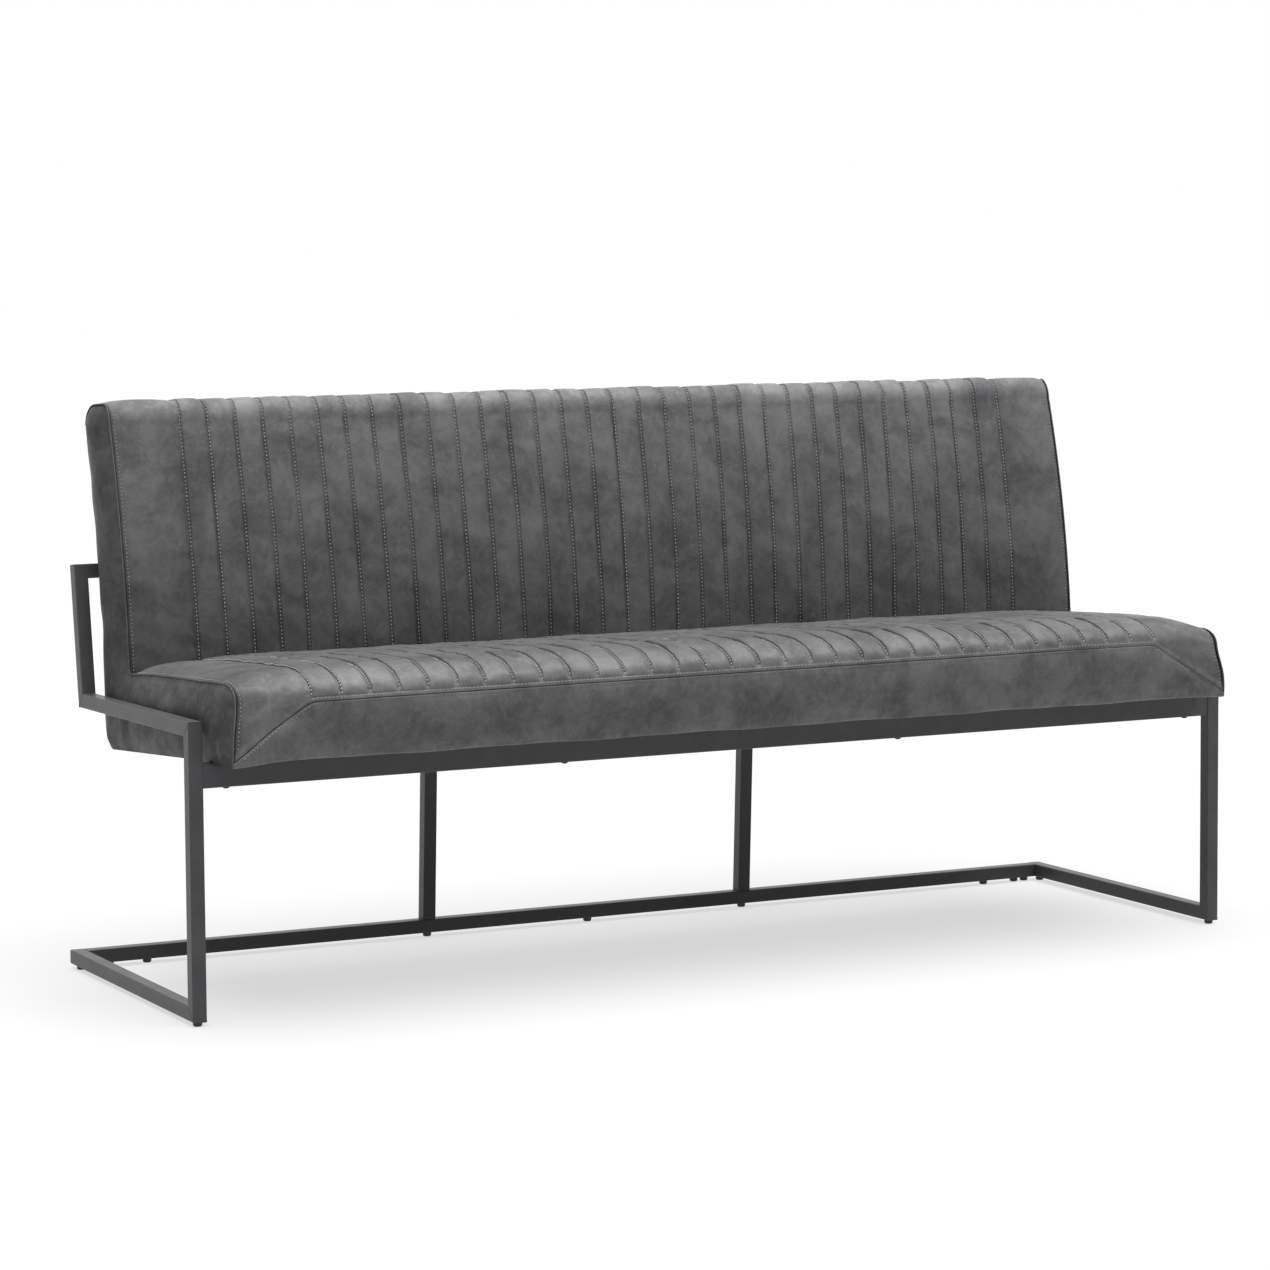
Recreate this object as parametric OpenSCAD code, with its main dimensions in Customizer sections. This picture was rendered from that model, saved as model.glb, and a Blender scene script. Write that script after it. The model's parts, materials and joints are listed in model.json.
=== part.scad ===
// Dining sofa: an upholstered seat and back shell with sewn channels, carried by a welded frame of
// square steel tube. X runs along the sofa, -Y is the front, Z is up and the glides stand on Z = 0.

/* [Overall] */
// Width over the two side frames
frame_w = 1800; // [1500:10:2200]
// Length of the floor rails, front to back
frame_d = 545; // [530:1:600]
// Height of the side seat rails' top at the front legs
seat_rail_top = 446; // [430:1:470]
// Height of the upper back rail's centre line
back_rail_z = 628; // [600:1:680]
// Gap between a side frame and the upholstery beside it
side_gap = 10; // [4:1:20]

/* [Steel tube] */
// Side of the square tube
tube = 22; // [20:1:25]
// Wall of every tube
tube_wall = 1.5; // [1.2:0.1:1.8]
// Outside corner radius of every tube
tube_round = 2; // [1.9:0.1:3]
// Plate that closes a floor rail's rear end
cap_t = 1.5; // [1:0.1:3]

/* [Side frames] */
// Centre line run of a seat rail, from front leg to back upright
seat_rail_run = 462; // [450:1:475]
// Fall of a seat rail over that run
seat_rail_drop = 5; // [0:1:12]
// Lean of the back uprights, in degrees
upright_lean = 8; // [5:0.5:10]

/* [Cross rails] */
// Height of the deep front seat rail
apron_h = 36; // [30:1:45]
// Depth of the front seat rail, front to back
apron_d = 20; // [18:1:22]
// Height of the front seat rail's top above the floor
apron_top = 384; // [370:1:395]
// Step from the front legs' faces back to the front seat rail
apron_step = 2; // [0:0.5:3]
// Number of legs between the side frames
mid_leg_count = 2; // [1:1:3]

/* [Glides] */
// Height that the glides lift the floor rails
glide_h = 7; // [5:0.5:10]
// Diameter of a glide under the rail
glide_d = 14; // [12:0.5:18]
// Diameter of a glide's flat foot
glide_foot_d = 9; // [6:0.5:11]
// Diameter of the stem that is pushed into the tube
stem_d = 8; // [6:0.5:9]
// Length of that stem
stem_l = 9; // [6:0.5:12]
// Slack of the stem in its hole, on the diameter
stem_slack = 0.2; // [0.1:0.1:0.6]
// From the side frame's inner face to the first glide of the corner pair
corner_glide_inset = 17; // [12:1:24]
// Spacing of the corner pair
corner_glide_pitch = 21; // [19:1:30]
// From the side frame's inner face to the single glide next along
end_glide_inset = 101; // [80:1:140]
// From a floor rail's rear end to its rear glide
rear_glide_inset = 20; // [12:1:40]

/* [Seat] */
// Fall of the seat towards the back, in degrees
seat_slope = 4; // [2:0.5:6]
// Thickness of the seat at its side seams
seat_t = 120; // [105:1:135]
// Rise of the seat above its side seams
seat_crown = 16; // [8:1:22]
// Width over which the seat falls to each side seam
shoulder_w = 180; // [130:5:240]
// Extra rise halfway between front and back
seat_swell = 3; // [0:0.5:6]
// Height of the front seam above the shell's underside
seam_w = 87; // [78:1:94]
// Strip of cover that stands upright above the front seam
seam_lip = 6; // [3:0.5:9]
// Height of the front band's corners above the shell's underside
band_toe = 7; // [4:0.5:12]
// Reach of the seat's nose in front of the front rail, at the ends
nose_reach = 104; // [95:1:115]
// Further reach of the nose between the end panels
nose_bow = 15; // [5:1:20]
// Reach of the seat's lower front edge at the ends
foot_reach = 89; // [80:1:93]
// Further reach of that edge between the end panels
foot_bow = 8; // [2:1:12]
// Length of the rolled nose between the end panels
nose_roll = 117; // [90:1:130]
// Length of the rolled nose at the ends
end_roll = 45; // [30:1:60]

/* [Back] */
// Thickness of the back
back_t = 98; // [90:1:110]
// Height of the back's top above the shell's underside, square to the seat
back_top_w = 536; // [500:1:580]
// How far the back curves away from its foot by the top
back_sweep = 52; // [30:1:70]
// Height of the rounded top edge
top_round_h = 36; // [26:1:44]
// Depth of that round at the front
top_front_round = 26; // [18:1:34]
// Depth of that round at the rear
top_rear_round = 44; // [34:1:52]
// Radius of the shell's lower rear corner
corner_r = 22; // [15:1:30]

/* [Channels] */
// Number of sewn channels across the seat and the back
channel_count = 32; // [24:1:40]
// Width of the plain panel at each end
end_panel_w = 113; // [90:1:140]
// Depth of the sewn grooves
groove_depth = 4; // [2:0.5:6]
// How far the cover is drawn in at the side seams
edge_draw = 3; // [1:0.5:5]

/* [Cover and foam] */
// Thickness of the leather and of the lining under the seat
skin_t = 1.5; // [1:0.1:2.5]
// Thickness of a padded side panel
side_panel_t = 9; // [4:0.5:12]
// How far in from its edge a side panel's padding rolls
side_panel_roll = 9; // [5:1:14]
// Least padding of the front band
front_pad_t = 14; // [10:1:20]

/* [Timber] */
// Height of the seat's boards
board_h = 40; // [34:1:46]
// Thickness of the seat's boards
board_t = 22; // [18:1:26]
// Width of a joist or a back post
post_w = 40; // [34:1:50]
// Depth of a back post, front to back
post_t = 30; // [24:1:34]
// Height of the boards between the back posts
back_board_h = 70; // [60:1:90]
// Thickness of the curved plywood behind the back foam
ply_t = 3; // [2:0.5:5]

/* [Webbing] */
// Straps in each bay of the seat
straps_per_bay = 4; // [3:1:5]
// Width of a strap
strap_w = 60; // [50:1:70]
// Thickness of a strap
strap_t = 1.5; // [1:0.1:2.5]
// How far the joists stay below the straps' seats
strap_room = 8; // [4:1:14]

/* [Fasteners] */
// Diameter of the bolts
bolt_d = 6; // [5:0.5:6.5]
// Diameter of the holes that the bolts pass
bolt_hole_d = 6.6; // [6.6:0.1:7.2]
// Diameter of a bolt's button head
head_d = 10.5; // [9:0.5:13]
// Height of that head
head_h = 3.3; // [2.5:0.1:5]
// Across the corners of the head's hexagon socket
socket_d = 4.6; // [3.5:0.1:5]
// Outside diameter of the inserts in the timber
insert_d = 11; // [9:0.5:13]
// Length of an insert
insert_l = 20; // [15:1:24]
// Slack of a bolt in its insert, on the diameter
insert_slack = 0.1; // [0.1:0.1:0.4]

/* [Hidden] */

$fn = 48;
// Gap between a soft piece and what it lies against
soft_gap = 0.3;
// Overrun of every cut
over = 1;
// Rows of faces on the seat's top, the nose, the back's face and each top round
seat_rows = 3;
nose_rows = 4;
face_rows = 3;
round_rows = 2;
outline_rows = 12;
corner_rows = 6;
plain_cells = 3;
channel_cells = 3;
band_cells = 8;
band_rows = 4;
panel_rows = 3;

inner_round = max(tube_round - tube_wall, tube_wall / 4);
cutter = 6 * tube;
steel_x = frame_w / 2 - tube / 2;
inside_w = frame_w - 2 * tube;
apron_back = apron_step + apron_d;
shell_foot_z = apron_top + soft_gap;

// Corners of a side frame on the tubes' centre lines, as [y, z]
foot_corner = [tube / 2, glide_h + tube / 2];
knee_corner = [tube / 2, seat_rail_top - tube / 2];
hip_corner = [knee_corner[0] + seat_rail_run, knee_corner[1] - seat_rail_drop];
top_corner = [
    hip_corner[0] + (back_rail_z - hip_corner[1]) * tan(upright_lean),
    back_rail_z
];
heel_end = [frame_d - cap_t, glide_h + tube / 2];
rear_rail_y = frame_d - tube / 2;

function unit(v) = v / norm(v);
function tilt(v) = atan2(-v[0], v[1]);
function mix(a, b, share) = a + (b - a) * share;
// A point [y, z] of the frame, seen square to the sloping shell as [u, w]
function to_shell(p) = let (y = p[0] - apron_back, z = p[1] - shell_foot_z) [
    y * cos(seat_slope) - z * sin(seat_slope),
    y * sin(seat_slope) + z * cos(seat_slope)
];

// The back's sweep at height w: none up to the seat, then growing with the square of the height
function sweep(w) = w <= seat_t ? 0 : back_sweep * pow((w - seat_t) / (back_top_w - seat_t), 2);

// The back stands where its rear face meets the upper rail's nearer front corner
rail_front_low = to_shell(top_corner + turned([-tube / 2, -tube / 2]));
rail_front_high = to_shell(top_corner + turned([-tube / 2, tube / 2]));
function turned(v) = [
    v[0] * cos(upright_lean) + v[1] * sin(upright_lean),
    v[1] * cos(upright_lean) - v[0] * sin(upright_lean)
];
back_u = min(
    rail_front_low[0] - sweep(rail_front_low[1]),
    rail_front_high[0] - sweep(rail_front_high[1])
) - back_t - soft_gap;
rail_w = (rail_front_low[1] + rail_front_high[1]) / 2;

nose_w = seam_w + seam_lip;
inner_front_u = front_pad_t - foot_reach;
timber_foot = skin_t;
timber_top = timber_foot + board_h;
base_w = timber_top + strap_t + soft_gap;
rear_seam_w = back_top_w - top_round_h;
back_timber_top = rear_seam_w - soft_gap;
post_rear = back_t - skin_t;
post_front = post_rear - post_t;
ply_front = post_front - ply_t;
post_front_u = back_u + post_front;

// The upholstery between its side seams
shell_w = inside_w - 2 * (side_gap + side_panel_t);
soft_half_w = shell_w / 2 - soft_gap;
channel_span = shell_w - 2 * end_panel_w;
channel_pitch = channel_span / channel_count;
plain_w = soft_half_w - channel_span / 2;

bay_w = inside_w / (mid_leg_count + 1);
mid_leg_x = [for (i = [1 : mid_leg_count]) -inside_w / 2 + i * bay_w];
post_x = concat([-shell_w / 2 + post_w / 2], mid_leg_x, [shell_w / 2 - post_w / 2]);
back_bolt_x = [for (i = [0 : len(post_x) - 2], share = [-1 / 4, 1 / 4])
    mix(post_x[i], post_x[i + 1], 1 / 2) + share * (post_x[i + 1] - post_x[i])];

front_y = apron_back - reach_at(0, seam_w) * cos(seat_slope) + seam_w * sin(seat_slope);
middle_y = (frame_d + front_y) / 2;

steel_colour = [0.22, 0.23, 0.24];
leather_colour = [0.30, 0.30, 0.31];
panel_colour = [0.27, 0.27, 0.28];
wood_colour = [0.78, 0.64, 0.45];
strap_colour = [0.12, 0.12, 0.13];
zinc_colour = [0.70, 0.71, 0.72];
black_colour = [0.05, 0.05, 0.05];

// Moves the model's middle, front to back, to Y = 0
module placed() {
    translate([0, -middle_y, 0]) children();
}

// Stands on the front rail's rear top edge, square to the sloping seat
module on_shell() {
    translate([0, apron_back, shell_foot_z]) rotate([-seat_slope, 0, 0]) children();
}

// The centre of the upper back rail, leaning with the uprights
module at_upper_rail() {
    translate([0, top_corner[0], top_corner[1]]) rotate([-upright_lean, 0, 0]) children();
}

// An outline in Y and Z, extruded along X about the middle
module across(outline, length) {
    translate([-length / 2, 0, 0]) rotate([90, 0, 90]) linear_extrude(length) polygon(outline);
}

module rounded_plate(w, h, r) {
    square([w - 2 * r, h], center = true);
    square([w, h - 2 * r], center = true);
    for (x = [-1, 1], y = [-1, 1]) translate([x * (w / 2 - r), y * (h / 2 - r)]) circle(r);
}

module tube_section(w, h) {
    difference() {
        rounded_plate(w, h, tube_round);
        rounded_plate(w - 2 * tube_wall, h - 2 * tube_wall, inner_round);
    }
}

// A square tube in the Y-Z plane from p to q, run past each end for its mitre
module side_tube(p, q, past_p, past_q) {
    translate([0, p[0], p[1]]) rotate([tilt(q - p), 0, 0]) translate([0, 0, -past_p])
        linear_extrude(norm(q - p) + past_p + past_q) tube_section(tube, tube);
}

// All that lies past the mitre at corner p, for a tube towards q that meets one towards r
module past_mitre(p, q, r) {
    translate([0, p[0], p[1]]) rotate([tilt(unit(r - p) - unit(q - p)), 0, 0])
        translate([-cutter / 2, -cutter / 2, 0]) cube(cutter);
}

// A tube along X between the side frames
module cross_tube(length, depth, height) {
    rotate([0, 90, 0]) linear_extrude(length, center = true) tube_section(height, depth);
}

module stem_holes(places) {
    for (p = places) translate([p[0], p[1], glide_h - over])
        cylinder(d = stem_d + stem_slack, h = tube_wall + 2 * over);
}

side_glides = [for (x = [-steel_x, steel_x], y = [tube / 2, frame_d - rear_glide_inset]) [x, y]];
rear_glide_x = concat([0], mid_leg_x, [for (side = [-1, 1], inset = [
    corner_glide_inset, corner_glide_inset + corner_glide_pitch, end_glide_inset
]) side * (inside_w / 2 - inset)]);
rear_glides = [for (x = rear_glide_x) if (x != 0 || mid_leg_count % 2 == 0) [x, rear_rail_y]];
mid_glides = mid_leg_count % 2 == 1 ? [[0, rear_rail_y]] : [];

module floor_rail(side) {
    difference() {
        translate([side * steel_x, 0, 0]) difference() {
            side_tube(foot_corner, heel_end, tube, 0);
            past_mitre(foot_corner, heel_end, knee_corner);
        }
        stem_holes(side_glides);
    }
}

module front_leg(side) {
    difference() {
        translate([side * steel_x, 0, 0]) difference() {
            side_tube(foot_corner, knee_corner, tube, tube);
            past_mitre(foot_corner, knee_corner, heel_end);
            past_mitre(knee_corner, foot_corner, hip_corner);
        }
        stem_holes(side_glides);
    }
}

module seat_rail(side) {
    translate([side * steel_x, 0, 0]) difference() {
        side_tube(knee_corner, hip_corner, tube, tube);
        past_mitre(knee_corner, hip_corner, foot_corner);
        past_mitre(hip_corner, knee_corner, top_corner);
    }
}

module back_upright(side) {
    translate([side * steel_x, 0, 0]) difference() {
        side_tube(hip_corner, top_corner, tube, tube);
        past_mitre(hip_corner, top_corner, knee_corner);
        at_upper_rail() rotate([0, side * -45, 0])
            translate([-cutter / 2, -cutter / 2, 0]) cube(cutter);
    }
}

module back_bolt_holes(depth) {
    at_upper_rail() for (x = back_bolt_x) translate([x, tube / 2 + over, 0])
        rotate([90, 0, 0]) cylinder(d = bolt_hole_d, h = depth + over);
}

module upper_back_rail() {
    color(steel_colour) placed() difference() {
        at_upper_rail() difference() {
            cross_tube(frame_w, tube, tube);
            for (side = [-1, 1]) translate([side * steel_x, 0, 0]) rotate([0, side * 135, 0])
                translate([-cutter / 2, -cutter / 2, 0]) cube(cutter);
        }
        back_bolt_holes(tube + over);
    }
}

module rear_floor_rail() {
    color(steel_colour) placed() difference() {
        translate([0, rear_rail_y, glide_h + tube / 2]) cross_tube(inside_w, tube, tube);
        stem_holes(concat(rear_glides, mid_glides));
    }
}

// Upright bolts through the front rail into the joists
module at_seat_bolts() {
    for (x = post_x) translate([x, apron_step + apron_d / 2, 0]) children();
}

module seat_bolt_holes() {
    at_seat_bolts() translate([0, 0, apron_top - apron_h - over])
        cylinder(d = bolt_hole_d, h = apron_h + board_h + over);
}

module front_seat_rail() {
    color(steel_colour) placed() difference() {
        translate([0, apron_step + apron_d / 2, apron_top - apron_h / 2])
            cross_tube(inside_w, apron_d, apron_h);
        seat_bolt_holes();
    }
}

// A leg from the rear floor rail's top to the upper back rail's underside
module mid_leg(x) {
    color(steel_colour) placed() translate([x, 0, 0]) difference() {
        side_tube([rear_rail_y, glide_h + tube / 2], top_corner, tube, 0);
        translate([-cutter / 2, rear_rail_y - cutter / 2, glide_h + tube - cutter]) cube(cutter);
        at_upper_rail() translate([-cutter / 2, -cutter / 2, -tube / 2]) cube(cutter);
    }
}

module left_floor_rail() {
    color(steel_colour) placed() floor_rail(-1);
}

module right_floor_rail() {
    color(steel_colour) placed() floor_rail(1);
}

module left_front_leg() {
    color(steel_colour) placed() front_leg(-1);
}

module right_front_leg() {
    color(steel_colour) placed() front_leg(1);
}

module left_seat_rail() {
    color(steel_colour) placed() seat_rail(-1);
}

module right_seat_rail() {
    color(steel_colour) placed() seat_rail(1);
}

module left_back_upright() {
    color(steel_colour) placed() back_upright(-1);
}

module right_back_upright() {
    color(steel_colour) placed() back_upright(1);
}

module left_mid_leg() {
    mid_leg(mid_leg_x[0]);
}

module right_mid_leg() {
    for (i = [1 : 1 : mid_leg_count - 1]) mid_leg(mid_leg_x[i]);
}

module floor_rail_caps() {
    color(steel_colour) placed() for (side = [-1, 1])
        translate([side * steel_x, frame_d, glide_h + tube / 2]) rotate([90, 0, 0])
            linear_extrude(cap_t) rounded_plate(tube, tube, tube_round);
}

// A push-in glide: a domed foot with a flat face, and a stem up into the tube
module floor_glides() {
    dome_h = glide_h / 2;
    color(black_colour) placed() for (p = concat(side_glides, rear_glides, mid_glides))
        translate([p[0], p[1], 0]) rotate_extrude() polygon([
            [0, 0], [glide_foot_d / 2, 0],
            for (a = [15 : 15 : 75]) [
                mix(glide_foot_d / 2, glide_d / 2, sin(a)), dome_h * (1 - cos(a))
            ],
            [glide_d / 2, dome_h], [glide_d / 2, glide_h], [stem_d / 2, glide_h],
            [stem_d / 2, glide_h + stem_l], [0, glide_h + stem_l]
        ]);
}

// A button head bolt that points up, with its head below the origin
module button_bolt(reach) {
    difference() {
        union() {
            cylinder(d = bolt_d, h = reach);
            rotate_extrude() polygon([
                [0, 0], [head_d / 2, 0],
                for (a = [0 : 15 : 75]) [head_d / 2 * cos(a), -head_h * (1 / 4 + sin(a) * 3 / 4)],
                [0, -head_h]
            ]);
        }
        translate([0, 0, -head_h - over]) cylinder(d = socket_d, h = head_h * 2 / 3 + over, $fn = 6);
    }
}

module timber_insert() {
    difference() {
        cylinder(d = insert_d, h = insert_l);
        translate([0, 0, -over]) cylinder(d = bolt_d + insert_slack, h = insert_l + 2 * over);
    }
}

// From the upper rail's front face to the timber behind the cover
rear_stack = soft_gap + skin_t + bolt_d / 2;
seat_stack = soft_gap + skin_t + bolt_d / 2;

module back_bolts() {
    color(black_colour) placed() at_upper_rail() for (x = back_bolt_x)
        translate([x, tube / 2, 0]) rotate([90, 0, 0]) button_bolt(tube + rear_stack + insert_l);
}

module seat_bolts() {
    color(black_colour) placed() at_seat_bolts() translate([0, 0, apron_top - apron_h])
        button_bolt(apron_h + seat_stack + insert_l);
}

module back_inserts() {
    color(zinc_colour) placed() at_upper_rail() for (x = back_bolt_x)
        translate([x, -tube / 2 - rear_stack, 0]) rotate([90, 0, 0]) timber_insert();
}

module seat_inserts() {
    color(zinc_colour) placed() at_seat_bolts() translate([0, 0, apron_top + seat_stack])
        timber_insert();
}

module back_insert_holes() {
    at_upper_rail() for (x = back_bolt_x) translate([x, -tube / 2 - rear_stack, 0])
        rotate([90, 0, 0]) cylinder(d = insert_d, h = insert_l);
}

module seat_insert_holes() {
    at_seat_bolts() translate([0, 0, apron_top + seat_stack]) cylinder(d = insert_d, h = insert_l);
}

// A board of the seat, square to it, from u0 to u1
module seat_board(x, width, u0, u1, w0, w1) {
    on_shell() translate([x - width / 2, u0, w0]) cube([width, u1 - u0, w1 - w0]);
}

joist_front = inner_front_u + board_t;
joist_rear = post_front_u - board_t;

module seat_front_board() {
    color(wood_colour) placed()
        seat_board(0, shell_w, inner_front_u, joist_front, timber_foot, timber_top);
}

module seat_rear_board() {
    color(wood_colour) placed()
        seat_board(0, shell_w, joist_rear, post_front_u, timber_foot, timber_top);
}

module seat_joists() {
    last = len(post_x) - 1;
    color(wood_colour) placed() difference() {
        for (i = [0 : last])
            seat_board(post_x[i], post_w, joist_front, joist_rear, timber_foot,
                i == 0 || i == last ? timber_top : timber_top - strap_room);
        seat_bolt_holes();
        seat_insert_holes();
    }
}

// Elastic straps from the front board to the rear board, evenly spaced in each bay
module seat_webbing() {
    color(strap_colour) placed() for (i = [0 : len(post_x) - 2], k = [1 : straps_per_bay])
        seat_board(mix(post_x[i], post_x[i + 1], k / (straps_per_bay + 1)), strap_w,
            inner_front_u + strap_t, back_u + ply_front - strap_t, timber_top, timber_top + strap_t);
}

// Heights from w0 to w1 in even steps
function heights(w0, w1, rows) = [for (i = [0 : rows]) mix(w0, w1, i / rows)];
function reversed(list) = [for (i = [len(list) - 1 : -1 : 0]) list[i]];
function but_last(list) = [for (i = [0 : len(list) - 2]) list[i]];

// The timber bends once, halfway up, where the cover curves
bend_w = mix(timber_top, back_timber_top, 1 / 2);
bend_table = [[timber_top, 0], [bend_w, sweep(bend_w)], [back_timber_top, sweep(back_timber_top)]];
function bent_at(shift, w) = [back_u + shift + lookup(w, bend_table), w];
function bent_line(shift, w0) = [for (w = [w0, bend_w, back_timber_top]) bent_at(shift, w)];

// The back's curve, shifted from its front face by an amount, between two heights
function back_line(shift, w0, w1, rows) =
    [for (w = heights(w0, w1, rows)) [back_u + shift + sweep(w), w]];

// The rear face at a depth under the cover, from height w1 down and round the lower corner
function rear_line(depth, w1) = concat(
    reversed(back_line(back_t - depth, seat_t, w1, outline_rows)),
    [for (i = [0 : corner_rows]) let (a = -90 * i / corner_rows) [
        back_u + back_t - corner_r + (corner_r - depth) * cos(a),
        corner_r + (corner_r - depth) * sin(a)
    ]]
);

module back_posts() {
    outline = concat(
        [[post_front_u, timber_foot]],
        bent_line(post_front, timber_top),
        rear_line(skin_t, back_timber_top)
    );
    color(wood_colour) placed() for (x = post_x) translate([x, 0, 0])
        on_shell() across(outline, post_w);
}

// Boards that fill the bays between the posts, from w0 to w1
module between_posts(w0, w1) {
    outline = concat(
        [bent_at(post_front, w0)],
        [for (p = bent_line(post_front, w0)) if (p[1] > w0 && p[1] < w1) p],
        [bent_at(post_front, w1)],
        reversed(back_line(post_rear, w0, w1, outline_rows))
    );
    for (i = [0 : len(post_x) - 2]) translate([mix(post_x[i], post_x[i + 1], 1 / 2), 0, 0])
        on_shell() across(outline, post_x[i + 1] - post_x[i] - post_w);
}

module back_top_boards() {
    color(wood_colour) placed() between_posts(back_timber_top - back_board_h, back_timber_top);
}

module back_rail_boards() {
    color(wood_colour) placed() difference() {
        between_posts(rail_w - back_board_h / 2, rail_w + back_board_h / 2);
        back_bolt_holes(tube + rear_stack + post_t);
        back_insert_holes();
    }
}

module back_plywood() {
    outline = concat(
        bent_line(ply_front, timber_top),
        reversed(bent_line(post_front, timber_top))
    );
    color(wood_colour) placed() on_shell() across(outline, shell_w);
}

// How far x is down the shoulder: 0 over the middle, 1 at the side seams
function shoulder(x) = pow(max(abs(x) - soft_half_w + shoulder_w, 0) / shoulder_w, 2);

// Stations along the sofa as [x, draw], where draw is how far the cover is pulled in there
plain_left = [for (i = [0 : plain_cells - 1]) let (x = -soft_half_w + plain_w * i / plain_cells)
    [x, edge_draw * shoulder(x)]];
channel_stations = [for (c = [0 : channel_count - 1], k = [0 : channel_cells - 1])
    [-channel_span / 2 + channel_pitch * (c + k / channel_cells), k == 0 ? groove_depth : 0]];
plain_right = [for (s = reversed(plain_left)) [-s[0], s[1]]];
stations = concat(
    plain_left, channel_stations, [[channel_span / 2, groove_depth]], plain_right
);

// How full the seat is at x: 1 over the middle, falling to 0 at the side seams
function fullness(x) = 1 - shoulder(x);
function nose_at(x) = nose_reach + nose_bow * fullness(x);
function foot_at(x) = foot_reach + foot_bow * fullness(x);
function top_at(x) = seat_t + seat_crown * fullness(x);
// Reach of the front face at height w, swelling from its foot to its nose
function reach_at(x, w) = mix(foot_at(x), nose_at(x), sin(90 * min(w / nose_w, 1)));
// The front seam runs level over the channels, then falls to the lower corner
function seam_at(x) = mix(seam_w, band_toe,
    min(max(abs(x) - channel_span / 2, 0) / plain_w, 1));

// The seat's top and nose at x, from the back's face to the nose
function seat_line(x, draw) =
    let (roll = mix(end_roll, nose_roll, fullness(x)), centre_u = roll - nose_at(x))
    let (rise = top_at(x) - nose_w) concat(
        [for (i = [0 : seat_rows]) let (s = i / seat_rows) [
            mix(back_u - soft_gap, centre_u, s),
            top_at(x) + seat_swell * 4 * s * (1 - s) - draw
        ]],
        [for (i = [1 : nose_rows]) let (a = 90 + 90 * i / nose_rows) [
            centre_u + (roll - draw) * cos(a), nose_w + (rise - draw) * sin(a)
        ]]
    );

// The back's face and top edge, from height w0 to the rear seam
function face_line(draw, w0) =
    let (round_w = back_top_w - top_round_h)
    let (front_u = back_u + sweep(round_w), rear_u = front_u + back_t) concat(
        back_line(draw, w0, round_w, face_rows),
        [for (i = [1 : round_rows]) let (a = 180 - 90 * i / round_rows) [
            front_u + top_front_round + (top_front_round - draw) * cos(a),
            round_w + (top_round_h - draw) * sin(a)
        ]],
        [for (i = [0 : round_rows]) let (a = 90 - 90 * i / round_rows) [
            rear_u - top_rear_round + (top_rear_round - draw) * cos(a),
            round_w + (top_round_h - draw) * sin(a)
        ]]
    );

// A closed skin over rings of points, one ring to a station in rising X; each ring runs
// clockwise as seen from +X. Each of the end loops is a list of ring points that starts at a
// corner from which the rest of that loop is in plain view, and together they fill an end
module loft(rings, end_loops) {
    count = len(rings[0]);
    last = len(rings) - 1;
    sides = [for (i = [0 : last - 1], j = [0 : count - 1])
        let (a = i * count + j, b = i * count + (j + 1) % count) each [
            [a, b, b + count],
            [a, b + count, a + count]
        ]];
    fans = [for (ends = end_loops, k = [1 : len(ends) - 2]) [ends[0], ends[k], ends[k + 1]]];
    first_end = [for (f = fans) [f[2], f[1], f[0]]];
    last_end = [for (f = fans) [for (j = f) last * count + j]];
    polyhedron([for (ring = rings) each ring], concat(sides, first_end, last_end));
}

// The whole of a ring as one end loop
function whole_ring(rings) = [for (k = [0 : len(rings[0]) - 1]) k];

function ring_at(x, outline) = [for (p = outline) [x, p[0], p[1]]];

module seat_cushion() {
    rings = [for (s = stations) let (x = s[0]) ring_at(x, concat(
        [
            [inner_front_u, base_w],
            [inner_front_u, seam_at(x)],
            [-reach_at(x, seam_at(x)), seam_at(x)]
        ],
        reversed(seat_line(x, s[1])),
        [[back_u - soft_gap, base_w]]
    ))];
    color(leather_colour) placed() on_shell() loft(rings, [whole_ring(rings)]);
}

// Each end has two loops: the top edge above the rear seam, and the foam's slice below it
module back_cushion() {
    rear = ply_front - soft_gap;
    rings = [for (s = stations) ring_at(s[0], concat(
        [bent_at(rear, bend_w), bent_at(rear, base_w)],
        face_line(s[1], base_w),
        [bent_at(rear, rear_seam_w)]
    ))];
    seam = len(rings[0]) - 1;
    face_top = 2 + face_rows;
    color(leather_colour) placed() on_shell() loft(rings, [
        [seam, for (k = [face_top : seam - 1]) k],
        [for (k = [0 : face_top]) k, seam]
    ]);
}

module front_band() {
    middle = [for (i = [0 : band_cells]) mix(-channel_span / 2, channel_span / 2, i / band_cells)];
    places = concat([for (s = plain_left) s[0]], middle, [for (s = plain_right) s[0]]);
    rings = [for (x = places) let (top = seam_at(x) - soft_gap) ring_at(x, concat(
        [[inner_front_u - soft_gap, top], [inner_front_u - soft_gap, 0]],
        [for (w = heights(0, top, band_rows)) [-reach_at(x, w), w]]
    ))];
    color(panel_colour) placed() on_shell() loft(rings, [whole_ring(rings)]);
}

// The L outline of a side: seat, front, lower corner, rear, top edge, back and the inner
// corner between back and seat
side_outline = concat(
    [for (p = seat_line(soft_half_w, edge_draw)) if (p[0] < back_u - soft_gap) p],
    [for (w = heights(nose_w, 0, band_rows)) if (w < nose_w) [edge_draw - reach_at(soft_half_w, w), w]],
    reversed(rear_line(0, rear_seam_w)),
    reversed([for (p = but_last(face_line(edge_draw, base_w))) if (p[1] > seat_t) p]),
    [[back_u + edge_draw, seat_t - edge_draw]]
);

// An outline drawn in all round, each corner moved along the mean of its two sides' normals
function inset(outline, depth) = [for (i = [0 : len(outline) - 1])
    let (p = outline[i], n = len(outline))
    let (a = left_of(p - outline[(i + n - 1) % n]), b = left_of(outline[(i + 1) % n] - p))
    let (m = unit(a + b)) p + m * depth / (m * a)];
function left_of(v) = unit([-v[1], v[0]]);

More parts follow.
